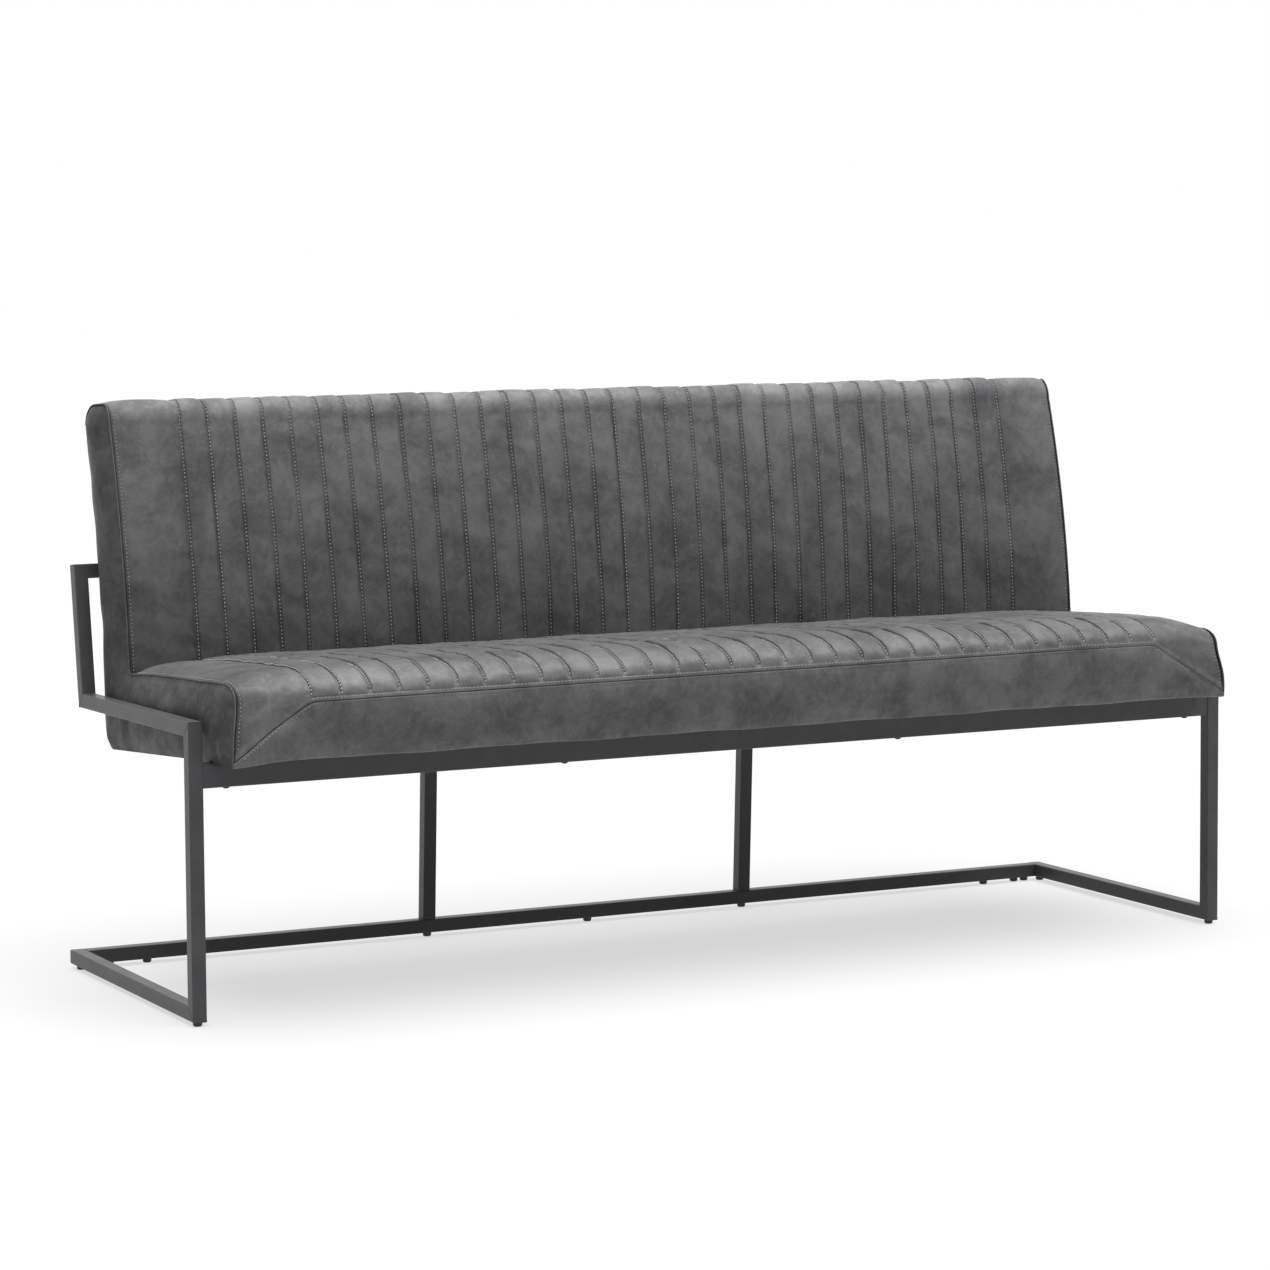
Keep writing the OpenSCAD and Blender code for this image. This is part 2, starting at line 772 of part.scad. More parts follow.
// A padded panel that rolls from its flat back to its outer face; each end has two loops,
// the back's limb and the seat's, parted from the inner corner to the lower corner's top
module side_panel(side) {
    count = len(side_outline);
    corner = count - 1 - corner_rows - band_rows - nose_rows - seat_rows;
    rings = [for (i = [0 : panel_rows]) let (a = 90 * i / panel_rows) ring_at(
        side * (shell_w / 2 + side_panel_t * sin(a)),
        reversed(inset(side_outline, side_panel_roll * (1 - cos(a))))
    )];
    color(panel_colour) placed() on_shell() loft(
        side > 0 ? rings : reversed(rings),
        [[for (k = [0 : corner]) k], [for (k = [corner : count]) k % count]]
    );
}

module left_side_panel() {
    side_panel(-1);
}

module right_side_panel() {
    side_panel(1);
}

module rear_panel() {
    color(panel_colour) placed() difference() {
        on_shell() across(
            concat(rear_line(0, back_timber_top), reversed(rear_line(skin_t, back_timber_top))),
            shell_w
        );
        back_bolt_holes(tube + rear_stack + post_t);
    }
}

module underside_lining() {
    color(black_colour) placed() difference() {
        seat_board(0, shell_w, inner_front_u, back_u + back_t - corner_r, 0, skin_t);
        seat_bolt_holes();
    }
}

left_floor_rail();
right_floor_rail();
left_front_leg();
right_front_leg();
left_seat_rail();
right_seat_rail();
left_back_upright();
right_back_upright();
upper_back_rail();
rear_floor_rail();
front_seat_rail();
left_mid_leg();
right_mid_leg();
floor_rail_caps();
floor_glides();
back_bolts();
seat_bolts();
back_inserts();
seat_inserts();
seat_front_board();
seat_rear_board();
seat_joists();
seat_webbing();
back_posts();
back_top_boards();
back_rail_boards();
back_plywood();
seat_cushion();
back_cushion();
front_band();
left_side_panel();
right_side_panel();
rear_panel();
underside_lining();
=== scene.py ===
import json
import math

import bpy
import numpy as np
from mathutils import Matrix


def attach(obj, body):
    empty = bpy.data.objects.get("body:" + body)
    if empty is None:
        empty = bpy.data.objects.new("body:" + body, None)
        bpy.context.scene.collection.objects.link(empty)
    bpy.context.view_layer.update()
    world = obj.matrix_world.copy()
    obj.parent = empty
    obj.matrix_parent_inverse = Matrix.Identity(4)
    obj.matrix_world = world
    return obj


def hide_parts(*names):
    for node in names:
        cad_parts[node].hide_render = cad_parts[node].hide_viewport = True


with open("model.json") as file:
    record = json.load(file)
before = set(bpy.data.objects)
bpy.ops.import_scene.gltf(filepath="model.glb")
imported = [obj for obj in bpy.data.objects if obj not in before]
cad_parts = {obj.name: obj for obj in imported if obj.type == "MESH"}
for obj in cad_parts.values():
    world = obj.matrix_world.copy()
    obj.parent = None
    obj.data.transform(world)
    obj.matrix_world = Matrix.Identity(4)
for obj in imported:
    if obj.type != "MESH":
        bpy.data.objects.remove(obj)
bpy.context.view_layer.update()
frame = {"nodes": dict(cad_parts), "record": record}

# Everything is in metres. X runs along the sofa, -Y is the front and Z is up.
# The upholstered shell is drawn in its own sloping frame: u runs from the front rail to the rear
# and w stands square to the seat.

shell = {
    "originY": -0.205236, "originZ": 0.3843, "slope": math.radians(4),
    "halfWidth": 0.8587, "channelHalf": 0.746, "channels": 32,
    "shoulder": 0.180, "seatT": 0.120,
}
halfWidth, channelHalf, channels = shell["halfWidth"], shell["channelHalf"], shell["channels"]
pitch = 2 * channelHalf / channels
seams = np.linspace(-channelHalf, channelHalf, channels + 1)

back = {
    "faceU": 0.343649, "thick": 0.098, "sweep": 0.052, "topW": 0.536, "roundH": 0.036,
    "frontRound": 0.026, "rearRound": 0.044, "footW": 0.085,
    "height": 0.0046, "proud": 0.0030, "edge": 0.0045,
    "stitchInset": 0.0062, "stitchGroove": 0.0007, "grooveWidth": 0.0016,
    "waves": [(0.21, 0.34, 0.0012), (0.07, 0.16, 0.0005), (0.028, 0.09, 0.00014)],  # two lengths and a height each
    "paintedLightFace": 0.37, "paintedLightTop": 0.46, "paintedLightLow": -0.23,  # painted light: how much the leather's colour is lightened, and darkened where negative, to stand in for light and shade
}
roundW = back["topW"] - back["roundH"]


def smoothStep(low, high, v):
    # a cubic that goes from 0 at low to 1 at high and is flat outside them
    t = np.clip((v - low) / (high - low), 0, 1)
    return t * t * (3 - 2 * t)


def hump(distance, width):
    # a bell: e to the minus square of distance over width
    return np.exp(-(distance / width) ** 2)


def unit(v):
    # each vector divided by its length
    return v / np.maximum(np.linalg.norm(v, axis=-1, keepdims=True), 1e-12)


def runAlong(points):
    # the length travelled to each point of a chain, or of each row of a grid
    steps = np.linalg.norm(np.diff(points, axis=-2), axis=-1)
    return np.concatenate([np.zeros(steps.shape[:-1] + (1,)), np.cumsum(steps, -1)], -1)


def arc(centreU, centreW, radiusU, radiusW, first, last, count):
    # part of an ellipse about a centre, between two angles in degrees
    a = np.radians(np.linspace(first, last, count))
    return np.stack([centreU + radiusU * np.cos(a), centreW + radiusW * np.sin(a)], -1)


def cubicAt(values, knots, at):
    # cubic Hermite curves through the rows of values, with slopes from both neighbours
    slope = np.gradient(values, knots, axis=0)
    k = np.clip(np.searchsorted(knots, at, side="right") - 1, 0, len(knots) - 2)
    gap = knots[k + 1] - knots[k]
    t = (at - knots[k]) / gap
    if values.ndim > 1:
        gap, t = gap[:, None], t[:, None]
    return (values[k] * (2 * t ** 3 - 3 * t ** 2 + 1) + values[k + 1] * (3 * t ** 2 - 2 * t ** 3)
            + slope[k] * gap * (t ** 3 - 2 * t ** 2 + t) + slope[k + 1] * gap * (t ** 3 - t ** 2))


# how far the sewing has wandered from even channels, in mm, at the seat's seam, and low, midway and high on the back
drift = {
    "at": np.array([-0.8587, -0.746, -0.56, -0.373, -0.187, 0, 0.187, 0.373, 0.56, 0.746, 0.8587]),
    "seatFront": np.array([0, 0.3, -2.6, -5.4, -9.0, -12.6, -17.0, -21.4, -26.4, -30.5, 0]),
    "backLow": np.array([0, 3.8, 2.3, 2.2, 1.5, -0.6, -4.2, -8.4, -11.5, -9.6, 0]),
    "backMid": np.array([0, 1.6, 0.2, 0.7, 2.1, 2.6, 1.6, -1.0, -4.4, -6.2, 0]),
    "backHigh": np.array([0, 3.0, 1.3, 2.5, 6.1, 9.9, 11.8, 10.8, 6.7, 0, 0]),
    "lowW": 0.12, "midW": 0.3, "highW": 0.536,
    "noseBack": 0.016, "noseIn": 0.005, "toeOut": 0.005, "frontIn": 0.0052, "rightIn": 0.0006, "rightNoseIn": 0.0008,
}
# how far the foam has sunk; the ends are side, depth, and where it starts and stops along x;
# the right and the left corner are depth, and where it starts and stops along u
settle = {
    "ends": [(1, 0.0020, 0.60, 0.82), (1, 0.0080, 0.79, 0.862), (-1, 0.001, 0.60, 0.82), (-1, 0.003, 0.80, 0.862)],
    "corners": [(0.0030, 0.07, -0.02), (0.0055, 0.08, 0.0)], "lowerEdge": 0.0007,
}


def shellFace(w):
    # how far back the back's face stands at a height: a parabola above the seat
    rise = np.clip(w - shell["seatT"], 0, None) / (back["topW"] - shell["seatT"])
    return back["faceU"] + back["sweep"] * rise ** 2


def driftAt(x, u, w):
    # the back's three rows joined by a parabola in w, blended along the seat into its front row
    v = np.clip(w, drift["lowW"], drift["highW"] + 0.004) - drift["midW"]
    above, below = drift["highW"] - drift["midW"], drift["lowW"] - drift["midW"]
    at = np.clip(x, drift["at"][0], drift["at"][-1])
    rows = (drift[key] for key in ("backLow", "backMid", "backHigh", "seatFront"))
    low, mid, high, front = (cubicAt(row, drift["at"], at) for row in rows)
    bend = ((high - mid) / above + (mid - low) / below) / (above - below)
    slope = (high - mid) / above - bend * above
    onBack = mid + slope * v + bend * v * v
    toFront = smoothStep(0.36, -0.04, u)
    return (onBack * (1 - toFront) + front * toFront) / 1000


def settleAt(x, u, w):
    # depth times smooth steps, for the seat's ends and its lower front corners, and two sines for a slack lower edge
    ends = sum(depth * smoothStep(start, stop, sign * x) for sign, depth, start, stop in settle["ends"])
    ends = ends * smoothStep(0.30, 0.02, u) * smoothStep(0.02, 0.10, w)
    right, left = (depth * smoothStep(start, stop, u) for depth, start, stop in settle["corners"])
    corner = np.where(x > 0, right, left) * smoothStep(0.79, 0.86, np.abs(x)) * (1 - smoothStep(0.02, 0.08, w))
    wave = settle["lowerEdge"] * (np.sin(x * 21 + 0.7) + 0.6 * np.sin(x * 47 + 2))
    return ends + corner + wave * smoothStep(0.03, 0, w) * smoothStep(-0.02, -0.07, u)


def toRow(x, u, w):
    # turns shell coordinates by the seat's slope and moves them to the front rail's rear top edge;
    # before that the cover takes its drift, its sunk places and its blunter front corners
    c, s = math.cos(shell["slope"]), math.sin(shell["slope"])
    away = np.abs(x)
    nearEnd = smoothStep(0.68, halfWidth, away) * smoothStep(0.03, -0.06, u)
    atNose = smoothStep(0.0, 0.10, w)
    front = shellFace(w)
    atFront = smoothStep(0.03, 0.09, w) * (1 - smoothStep(front, front + 0.055, u)) * smoothStep(0.79, halfWidth, away)
    noseIn = np.where(x > 0, drift["rightNoseIn"], drift["noseIn"]) * atNose
    noseIn = noseIn + drift["rightIn"] * (1 - atNose) * smoothStep(0.70, 0.85, x)
    moved = x + driftAt(x, u, w) - np.sign(x) * (noseIn * nearEnd + drift["frontIn"] * atFront)
    w, u = w - settleAt(x, u, w), u + nearEnd * ((drift["noseBack"] + drift["toeOut"]) * atNose - drift["toeOut"])
    return np.stack([moved, shell["originY"] + u * c + w * s, shell["originZ"] - u * s + w * c], -1)


def ripple(a, b, waves, seed):
    # a sum of seeded plane waves over two lengths, for soft unevenness
    gen = np.random.default_rng(seed)
    total = np.zeros(np.broadcast(a, b).shape)
    for lengthA, lengthB, height in waves:
        for _ in range(4):
            fa = gen.normal(1, 0.3) / lengthA * gen.choice([-1, 1])
            fb = gen.normal(1, 0.3) / lengthB
            total = total + height / 4 * np.sin(2 * np.pi * (fa * a + fb * b) + gen.uniform(0, 6.3))
    return total


def gridNormals(points):
    # unit cross product of the two grid directions
    return unit(np.cross(np.gradient(points, axis=0), np.gradient(points, axis=1)))


def gridQuads(count, size, wrapCount=False, wrapSize=False):
    # corners of the faces of a grid of points, which may close on itself either way
    i, j = np.meshgrid(np.arange(count - (not wrapCount)), np.arange(size - (not wrapSize)), indexing="ij")
    n, k = (i + 1) % count, (j + 1) % size
    return np.stack([i * size + j, n * size + j, n * size + k, i * size + k], -1).reshape(-1, 4)


def buildMesh(name, verts, quads, polys=(), crest=None, pull=None):
    # quads is an (n, 4) array of corners, polys a list of longer faces
    mesh = bpy.data.meshes.new(name)
    verts = np.asarray(verts, float).reshape(-1, 3)
    loops = np.concatenate([np.asarray(quads, np.int32).ravel()] + [np.asarray(p, np.int32) for p in polys])
    totals = np.concatenate([np.full(len(quads), 4, np.int32), np.array([len(p) for p in polys], np.int32)])
    mesh.vertices.add(len(verts))
    mesh.vertices.foreach_set("co", verts.ravel())
    mesh.loops.add(len(loops))
    mesh.loops.foreach_set("vertex_index", loops)
    mesh.polygons.add(len(totals))
    mesh.polygons.foreach_set("loop_start", np.concatenate([[0], np.cumsum(totals)[:-1]]).astype(np.int32))
    mesh.polygons.foreach_set("use_smooth", np.full(len(totals), True))
    mesh.update(calc_edges=True)
    mesh.validate()
    # crest is the relief's height; the other value is painted light and shade for the leather
    for key, values in (("crest", crest), ("pull", pull)):
        if values is not None:
            layer = mesh.attributes.new(key, "FLOAT", "POINT")
            layer.data.foreach_set("value", np.asarray(values, np.float32).ravel())
    piece = bpy.data.objects.new(name, mesh)
    bpy.context.scene.collection.objects.link(piece)
    return piece


def loftMesh(name, rings, crest=None, pull=None):
    # rings is (stations, points, 3); each ring closes on itself and both ends are capped
    count, size = rings.shape[:2]
    quads = gridQuads(count, size, wrapSize=True)[:, [0, 3, 2, 1]]
    caps = [np.arange(size)[::-1], (count - 1) * size + np.arange(size)]
    return buildMesh(name, rings, quads, caps, crest, pull)


def coverMesh(name, shown, hidden, height, pull, facing):
    # each station's ring is its shown points and the hidden ones that close it behind
    crest = np.concatenate([height, np.zeros(hidden.shape[:2])], 1)
    turned = slice(None, None, facing)
    rings = np.concatenate([shown, hidden], 1)[:, turned]
    return loftMesh(name, rings, crest[:, turned], np.broadcast_to(pull, crest.shape)[:, turned])


def circles(centre, side, up, radius, count):
    # a circle of points about each centre, in the plane of side and up
    a = np.arange(count)[:, None] * 2 * np.pi / count
    return centre[..., None, :] + radius * (np.cos(a) * side[..., None, :] + np.sin(a) * up[..., None, :])


def tubeMesh(name, path, radius, count=8):
    # a round bead carried along a path on frames that turn with it
    tangent = unit(np.gradient(path, axis=0))
    side = unit(np.cross(tangent, [1.0, 0.0, 0.0]))
    return loftMesh(name, circles(path, side, np.cross(tangent, side), radius, count))


# a stitch's pitch, its bead's radius and lift; row and edge are the length and share of radius and lift
thread = {"pitch": 0.0060, "radius": 0.00078, "lift": 0.0005, "row": (0.0036, 1.2), "edge": (0.0025, 0.70)}


def stitchRow(path, normals, kind):
    # short beads that leave the cover, run along it and go back in, one every pitch
    length, size = thread[kind]
    run = runAlong(path)
    starts = np.arange(thread["pitch"] / 2, run[-1] - length, thread["pitch"])
    at = starts[:, None] + length * np.array([0, 0.22, 0.78, 1])[None]
    centre, up = (np.stack([np.interp(at, run, v[:, k]) for k in range(3)], -1) for v in (path, normals))
    up = unit(up)
    side = unit(np.cross(np.broadcast_to(unit(centre[:, -1:] - centre[:, :1]), up.shape), up))
    centre = centre + up * (size * thread["lift"] * np.array([-1.2, 1, 1, -1.2]))[:, None]
    return circles(centre, side, up, (size * thread["radius"] * np.array([0.55, 1, 1, 0.55]))[:, None, None], 5)


def stitchMesh(name, rows):
    # every bead is four circles of five points with both ends capped
    rings = np.concatenate(rows)
    base = np.arange(len(rings))[:, None, None] * 20
    quads = (base + gridQuads(4, 5, wrapSize=True)[None]).reshape(-1, 4)
    ends = np.stack([np.arange(5), 15 + np.arange(5)[::-1]])
    return buildMesh(name, rings, quads, list((base + ends[None]).reshape(-1, 5)))


# stations in mm: off each seam, and in from each end of the shell
nearSeam = np.array([-17, -13.5, -10.5, -8, -6.2, -4.8, -3.7, -2.8, -2, -1.2, -0.4, 0.4, 1.2,
                     1.9, 2.5, 3.1, 3.7, 4.3, 4.9, 5.6, 6.5, 7.8, 9.6, 12, 15.5, 19]) / 1000
nearEdge = np.array([0, 0.15, 0.5, 1, 1.6, 2.3, 3, 3.8, 4.8, 6, 7.5, 9.5,
                     12, 15, 20, 26, 33, 41, 50, 59, 68, 77, 86, 95]) / 1000


def channelStations():
    # close stations at every seam and at both ends, wider ones between
    inner = (seams[:, None] + nearSeam[None]).ravel()
    x = np.concatenate([inner, seams[:-1] + pitch / 2, nearEdge - halfWidth, halfWidth - nearEdge])
    return np.unique(np.round(x, 6))


# valley, wall and slope are shares of a channel; endMeet is how wide the plain ends' meeting with a seam is
channel = {
    "stitchSide": 0.0026, "thread": 0.0006, "threadWidth": 0.0015, "pucker": 0.00042, "puckerLength": 0.0157,
    "valley": 0.056, "wall": 0.045, "slope": 0.24, "endMeet": 0.022, "cells": 8, "endCells": 10,
}


def channelPlace(x):
    # which channel a station lies in, and how far across it, 0 to 1
    c = (x + channelHalf) / pitch
    index = np.clip(np.floor(c), -1, channels).astype(int)
    return index, c - index


def arcHeight(x, seed):
    # the start of the pressed cover: a parabola over each channel, flatter over the plain ends
    index, t = channelPlace(x)
    scale = np.random.default_rng(seed).uniform(0.88, 1.12, channels + 2)[index + 1]
    plain = 1 - np.abs(2 * (halfWidth - np.abs(x)) / (halfWidth - channelHalf) - 1) ** 3
    return np.where((index < 0) | (index >= channels), plain, (1 - (2 * t - 1) ** 2) * scale)


def lapPlace(x, seed):
    # where on the pressed cover a station is read. Each channel keeps a flat valley beside its left seam,
    # rises over a short wall, stays full, and slopes down over its last part to the next valley
    index, t = channelPlace(x)
    gen = np.random.default_rng(seed)
    valley = channel["valley"] * gen.uniform(0.7, 1.35, channels + 2)[index + 1]
    slope = channel["slope"] * gen.uniform(0.7, 1.3, channels + 2)[index + 1]
    wall, meet = channel["wall"], channel["endMeet"]
    rise = np.clip((t - valley) / wall, 0, 1)
    full = np.clip((t - valley - wall) / (1 - valley - wall - slope), 0, 1)
    fall = np.clip((t - 1 + slope) / (slope - 0.035), 0, 1)
    bent = 0.27 * rise * (2 - rise) + 0.30 * full + 0.43 * fall ** 1.3
    place = np.where((index >= 0) & (index < channels), (index + bent) * pitch - channelHalf, x)
    # the plain ends meet their seams the same two ways
    u = np.clip((-channelHalf - x) / meet, 0, 1)
    left = -channelHalf - meet * np.clip((u - 0.09) / 0.91, 0, 1) ** 0.8
    place = np.where((index < 0) & (x > -channelHalf - meet), left, place)
    u = np.clip((x - channelHalf) / meet, 0, 1)
    right = channelHalf + meet * (0.45 * np.clip((u - 0.14) / 0.10, 0, 1) + 0.55 * np.clip((u - 0.24) / 0.76, 0, 1))
    return np.where((index >= channels) & (u < 1), right, place)


def seamDip(x, run, seed):
    # the thread's narrow valley beside a seam, and small puckers along it
    near = np.abs(x[:, None] - seams[None]).argmin(1)
    offset = (x - seams[near])[:, None]
    phase = np.random.default_rng(seed).uniform(0, 6.3, channels + 1)[near][:, None]
    turn = 2 * np.pi * run / channel["puckerLength"] + phase + 1.5 * np.sin(run * 31 + phase)
    valley = -channel["thread"] * hump(offset - channel["stitchSide"], channel["threadWidth"])
    return valley + channel["pucker"] * np.sin(turn) * hump(np.abs(offset) - 0.0055, 0.0035)


def edgeRoll(distance, radius):
    # quarter circle fall over the last radius before an edge
    d = np.clip(distance, 0, radius)
    return np.sqrt(np.maximum(radius ** 2 - (radius - d) ** 2, 0)) - radius


def shoulderAt(x):
    # 0 over the middle, rising as a square to 1 at the shell's ends
    return (np.clip(np.abs(x) - halfWidth + shell["shoulder"], 0, None) / shell["shoulder"]) ** 2


def pressStations():
    # even stations over the channels and over both plain ends
    inner = np.linspace(-channelHalf, channelHalf, channels * channel["cells"] + 1)
    end = np.linspace(channelHalf, halfWidth, channel["endCells"] + 1)[1:]
    return np.concatenate([-end[::-1], inner, end])


def pressRows(points, gap):
    # rows about one gap apart along the middle station, with the first and the last
    run = runAlong(points[len(points) // 2])
    rows = [0]
    for k in range(1, len(run) - 1):
        if run[k] - run[rows[-1]] >= gap and run[-1] - run[k] >= gap * 0.6:
            rows.append(k)
    return np.array(rows + [len(run) - 1])


def pressPatch(at, rows, skin, normals, start, facing, spare, held=None):
    # a coarse sheet that starts its height off the skin; spare is how much longer its cloth is than the sheet
    if held is None:
        held = np.zeros(start.shape, bool)
        held[0] = held[-1] = held[:, 0] = held[:, -1] = True
        held |= (np.abs(at[:, None] - seams[None]).min(1) < 1e-6)[:, None]
    start = np.where(held, 0, start)
    return {"x": at, "rows": rows, "skin": skin, "normal": normals, "start": skin + normals * start[..., None],
            "held": held, "facing": facing, "spare": spare}


press = {
    "pressure": 4.0, "mass": 0.3, "stiffness": 40.0, "shear": 20.0, "bending": 5.0, "quality": 5, "damping": 1.0,
    "frames": 20, "low": -0.001, "cap": 0.0085,
}


def pressCovers(patches):
    # cloth: each cover is held along its seams and edges, and pressed out from the foam side
    scene = bpy.context.scene
    sheets = []
    for patch in patches:
        quads = gridQuads(*patch["start"].shape[:2])
        sheet = buildMesh("pressedSheet", patch["start"], quads if patch["facing"] > 0 else quads[:, ::-1])
        sheet.vertex_groups.new(name="held").add(np.nonzero(patch["held"].ravel())[0].tolist(), 1.0, "REPLACE")
        cloth = sheet.modifiers.new("cover", "CLOTH")
        values = cloth.settings
        values.quality, values.mass, values.air_damping = press["quality"], press["mass"], press["damping"]
        values.tension_stiffness = values.compression_stiffness = press["stiffness"]
        values.shear_stiffness, values.bending_stiffness = press["shear"], press["bending"]
        values.vertex_group_mass, values.pin_stiffness = "held", 1.0
        values.shrink_min = -patch["spare"]
        values.use_pressure, values.uniform_pressure_force = True, press["pressure"]
        values.effector_weights.gravity = 0
        cloth.collision_settings.use_collision = False
        cloth.point_cache.frame_start, cloth.point_cache.frame_end = 1, press["frames"]
        sheets.append(sheet)
    for frameNumber in range(1, press["frames"] + 1):
        scene.frame_set(frameNumber)
    graph = bpy.context.evaluated_depsgraph_get()
    results = []
    for sheet, patch in zip(sheets, patches):
        flatPoints = np.empty(patch["start"].size)
        sheet.evaluated_get(graph).data.vertices.foreach_get("co", flatPoints)
        results.append(flatPoints.reshape(patch["start"].shape))
    scene.frame_set(1)
    for sheet in sheets:
        mesh = sheet.data
        bpy.data.objects.remove(sheet)
        bpy.data.meshes.remove(mesh)
    return results


def reliefOf(patch, pressed):
    # how far the pressed cover stands off its skin, held within the cap
    height = np.clip(((pressed - patch["skin"]) * patch["normal"]).sum(-1), press["low"], press["cap"])
    spread = np.percentile(height[~patch["held"]] * 1000, [0, 50, 100])
    print("cover relief in mm, least, middle, most:", np.round(spread, 2))
    return {"height": height, "x": patch["x"], "rows": patch["rows"]}


def spreadRelief(relief, at, rowCount):
    # the coarse relief read on the fine grid, first across and then along the rows
    across = cubicAt(relief["height"], relief["x"], at)
    return cubicAt(across.T, relief["rows"].astype(float), np.arange(rowCount, dtype=float)).T


def leftOf(chain):
    # unit normals on the left of a chain in u and w
    step = unit(np.gradient(chain, axis=0))
    return np.stack([-step[:, 1], step[:, 0]], -1)


def backProfile():
    # face, front round, flat top, rear round and a short fall to the rear seam
    b = back
    frontU = float(shellFace(roundW))
    rearU = frontU + b["thick"]
    w = np.concatenate([np.linspace(b["footW"], roundW - 0.03, 42), np.linspace(roundW - 0.03, roundW, 8)[1:]])
    face = np.stack([shellFace(w), w], -1)
    front = arc(frontU + b["frontRound"], roundW, b["frontRound"], b["roundH"], 180, 90, 15)[1:]
    flat = np.linspace(front[-1], [rearU - b["rearRound"], b["topW"]], 6)[1:]
    rear = arc(rearU - b["rearRound"], roundW, b["rearRound"], b["roundH"], 90, 0, 18)[1:]
    fall = np.array([[rearU, roundW - 0.0004], [rearU - 0.0008, roundW - 0.0016], [rearU - 0.003, roundW - 0.0022]])
    return np.concatenate([face, front, flat, rear, fall])


def channelStart(x, run, room, height, arcSeed, wave, seed):
    # parabolas over the channels that close towards the held rows, with one soft wave
    start = arcHeight(x, arcSeed)[:, None] * (1 - (1 - np.clip(room, 0, 1)) ** 2) * height
    return start + ripple(x[:, None], run, [wave], seed) * (start > 0.0005)


def backPatch():
    # the back's profile at every press station, down to the row where its rear seam is held
    x, profile = pressStations(), backProfile()
    skin = toRow(x[:, None], profile[None, :, 0], profile[None, :, 1])
    rows = pressRows(skin, 0.009)
    rows = rows[rows < len(profile) - 3]
    skin, run = skin[:, rows], runAlong(profile)[rows]
    room = (run[-1] - run) / 0.014
    start = channelStart(x, run[None], room[None], back["height"], 5, (0.09, 0.06, 0.0007), 61)
    return pressPatch(x, rows, skin, gridNormals(skin), start, 1, 0.0006)


def backSurface(x, relief):
    # the profile moved along its normals by the relief, the dips at the seams, the rolled ends and soft waves
    profile = backProfile()
    gs = runAlong(profile)[None]
    inset = halfWidth - np.abs(x[:, None])
    toRear = np.clip(gs[0, -4] - gs, 0, None)
    inward, atRear = smoothStep(0, 0.03, inset), smoothStep(0, 0.012, toRear)
    h = spreadRelief(relief, lapPlace(x, 41), len(profile))
    h = (h + seamDip(x, gs, 15) * smoothStep(0, 0.01, toRear)) - back["height"] + back["proud"]
    groove = back["stitchGroove"] * hump(inset - back["stitchInset"], back["grooveWidth"])
    h = h + edgeRoll(inset, back["edge"]) - groove - back["proud"] * (1 - atRear) * 0.4 - 0.0005 * (1 - inward)
    h = (h + ripple(x[:, None], gs, back["waves"], 11) * inward) * atRear
    place = profile[None] + leftOf(profile)[None] * h[..., None]
    return toRow(x[:, None], place[..., 0], place[..., 1]), h


def makeBack(relief):
    # the back's surface with three hidden points behind; the face's top and the rim get painted light, its foot
    # painted shade
    x = channelStations()
    points, h = backSurface(x, relief)
    behindU = np.array([shellFace(roundW) + 0.064, shellFace(0.3) + 0.05, back["faceU"] + 0.05])
    hidden = toRow(x[:, None], behindU[None], np.array([[roundW - 0.0022, 0.3, back["footW"]]]))
    w = np.append(backProfile()[:, 1], [0, 0, 0])
    # painted light on the face's upper part and on the rim, painted shade at the foot, carried to the leather as a
    # value on the mesh
    pull = back["paintedLightFace"] * smoothStep(0.26, 0.60, w) + back["paintedLightTop"] * smoothStep(0.488, 0.532, w)
    return coverMesh("backCover", points, hidden, h, pull + back["paintedLightLow"] * (1 - smoothStep(0.10, 0.32, w)), 1)


seat = {
    "crown": 0.016, "tilt": 0.0030, "swell": 0.003, "seamW": 0.087, "lip": 0.006, "toe": 0.007,
    "noseReach": 0.104, "noseBow": 0.015, "footReach": 0.089, "footBow": 0.008,
    "noseRoll": 0.117, "endRoll": 0.045, "height": 0.0046, "proud": 0.0028, "edge": 0.0055, "seamEdge": 0.0017,
    "tuck": 0.014, "stitchInset": 0.0062, "hemStitch": 0.0048, "slant": 0.815, "rearU": back["faceU"] + 0.004,
    "waves": [(0.24, 0.30, 0.0016), (0.08, 0.14, 0.0007), (0.11, 0.034, 0.00045), (0.03, 0.08, 0.00016)],
    # painted light on the nose: the last value adds more towards the left end and takes some away towards the right
    "pull": 0.40, "paintedLightEnds": 0.30,
}
noseW = seat["seamW"] + seat["lip"]


def seamAt(x):
    # level over the channels, with a small round into the two falls to the lower corners
    d = np.abs(x) - channelHalf
    soft = 0.012
    fall = np.where(d < -soft, 0, np.where(d > soft, d, (d + soft) ** 2 / (4 * soft)))
    level = seat["seamW"] + seat["tilt"] * np.clip(x / channelHalf, -1, 1)
    return level + (seat["toe"] - level) * np.clip(fall / (halfWidth - channelHalf), 0, 1)


def seamDepth(x):
    # the front seam is drawn in less towards its right end
    return (1 - 0.72 * smoothStep(0.40, 0.74, x))[:, None]


def slantAt(x):
    # the distance to a diagonal seam is shorter than the way straight down to it
    return np.where(np.abs(x) > channelHalf, seat["slant"], 1.0)[:, None]


def reachAt(x, w):
    # how far forward the front stands: a sine from the foot's reach up to the nose's
    full = 1 - shoulderAt(x)
    nose = seat["noseReach"] + seat["noseBow"] * full
    foot = seat["footReach"] + seat["footBow"] * full
    return foot + (nose - foot) * np.sin(np.pi / 2 * np.clip(w / noseW, 0, 1))


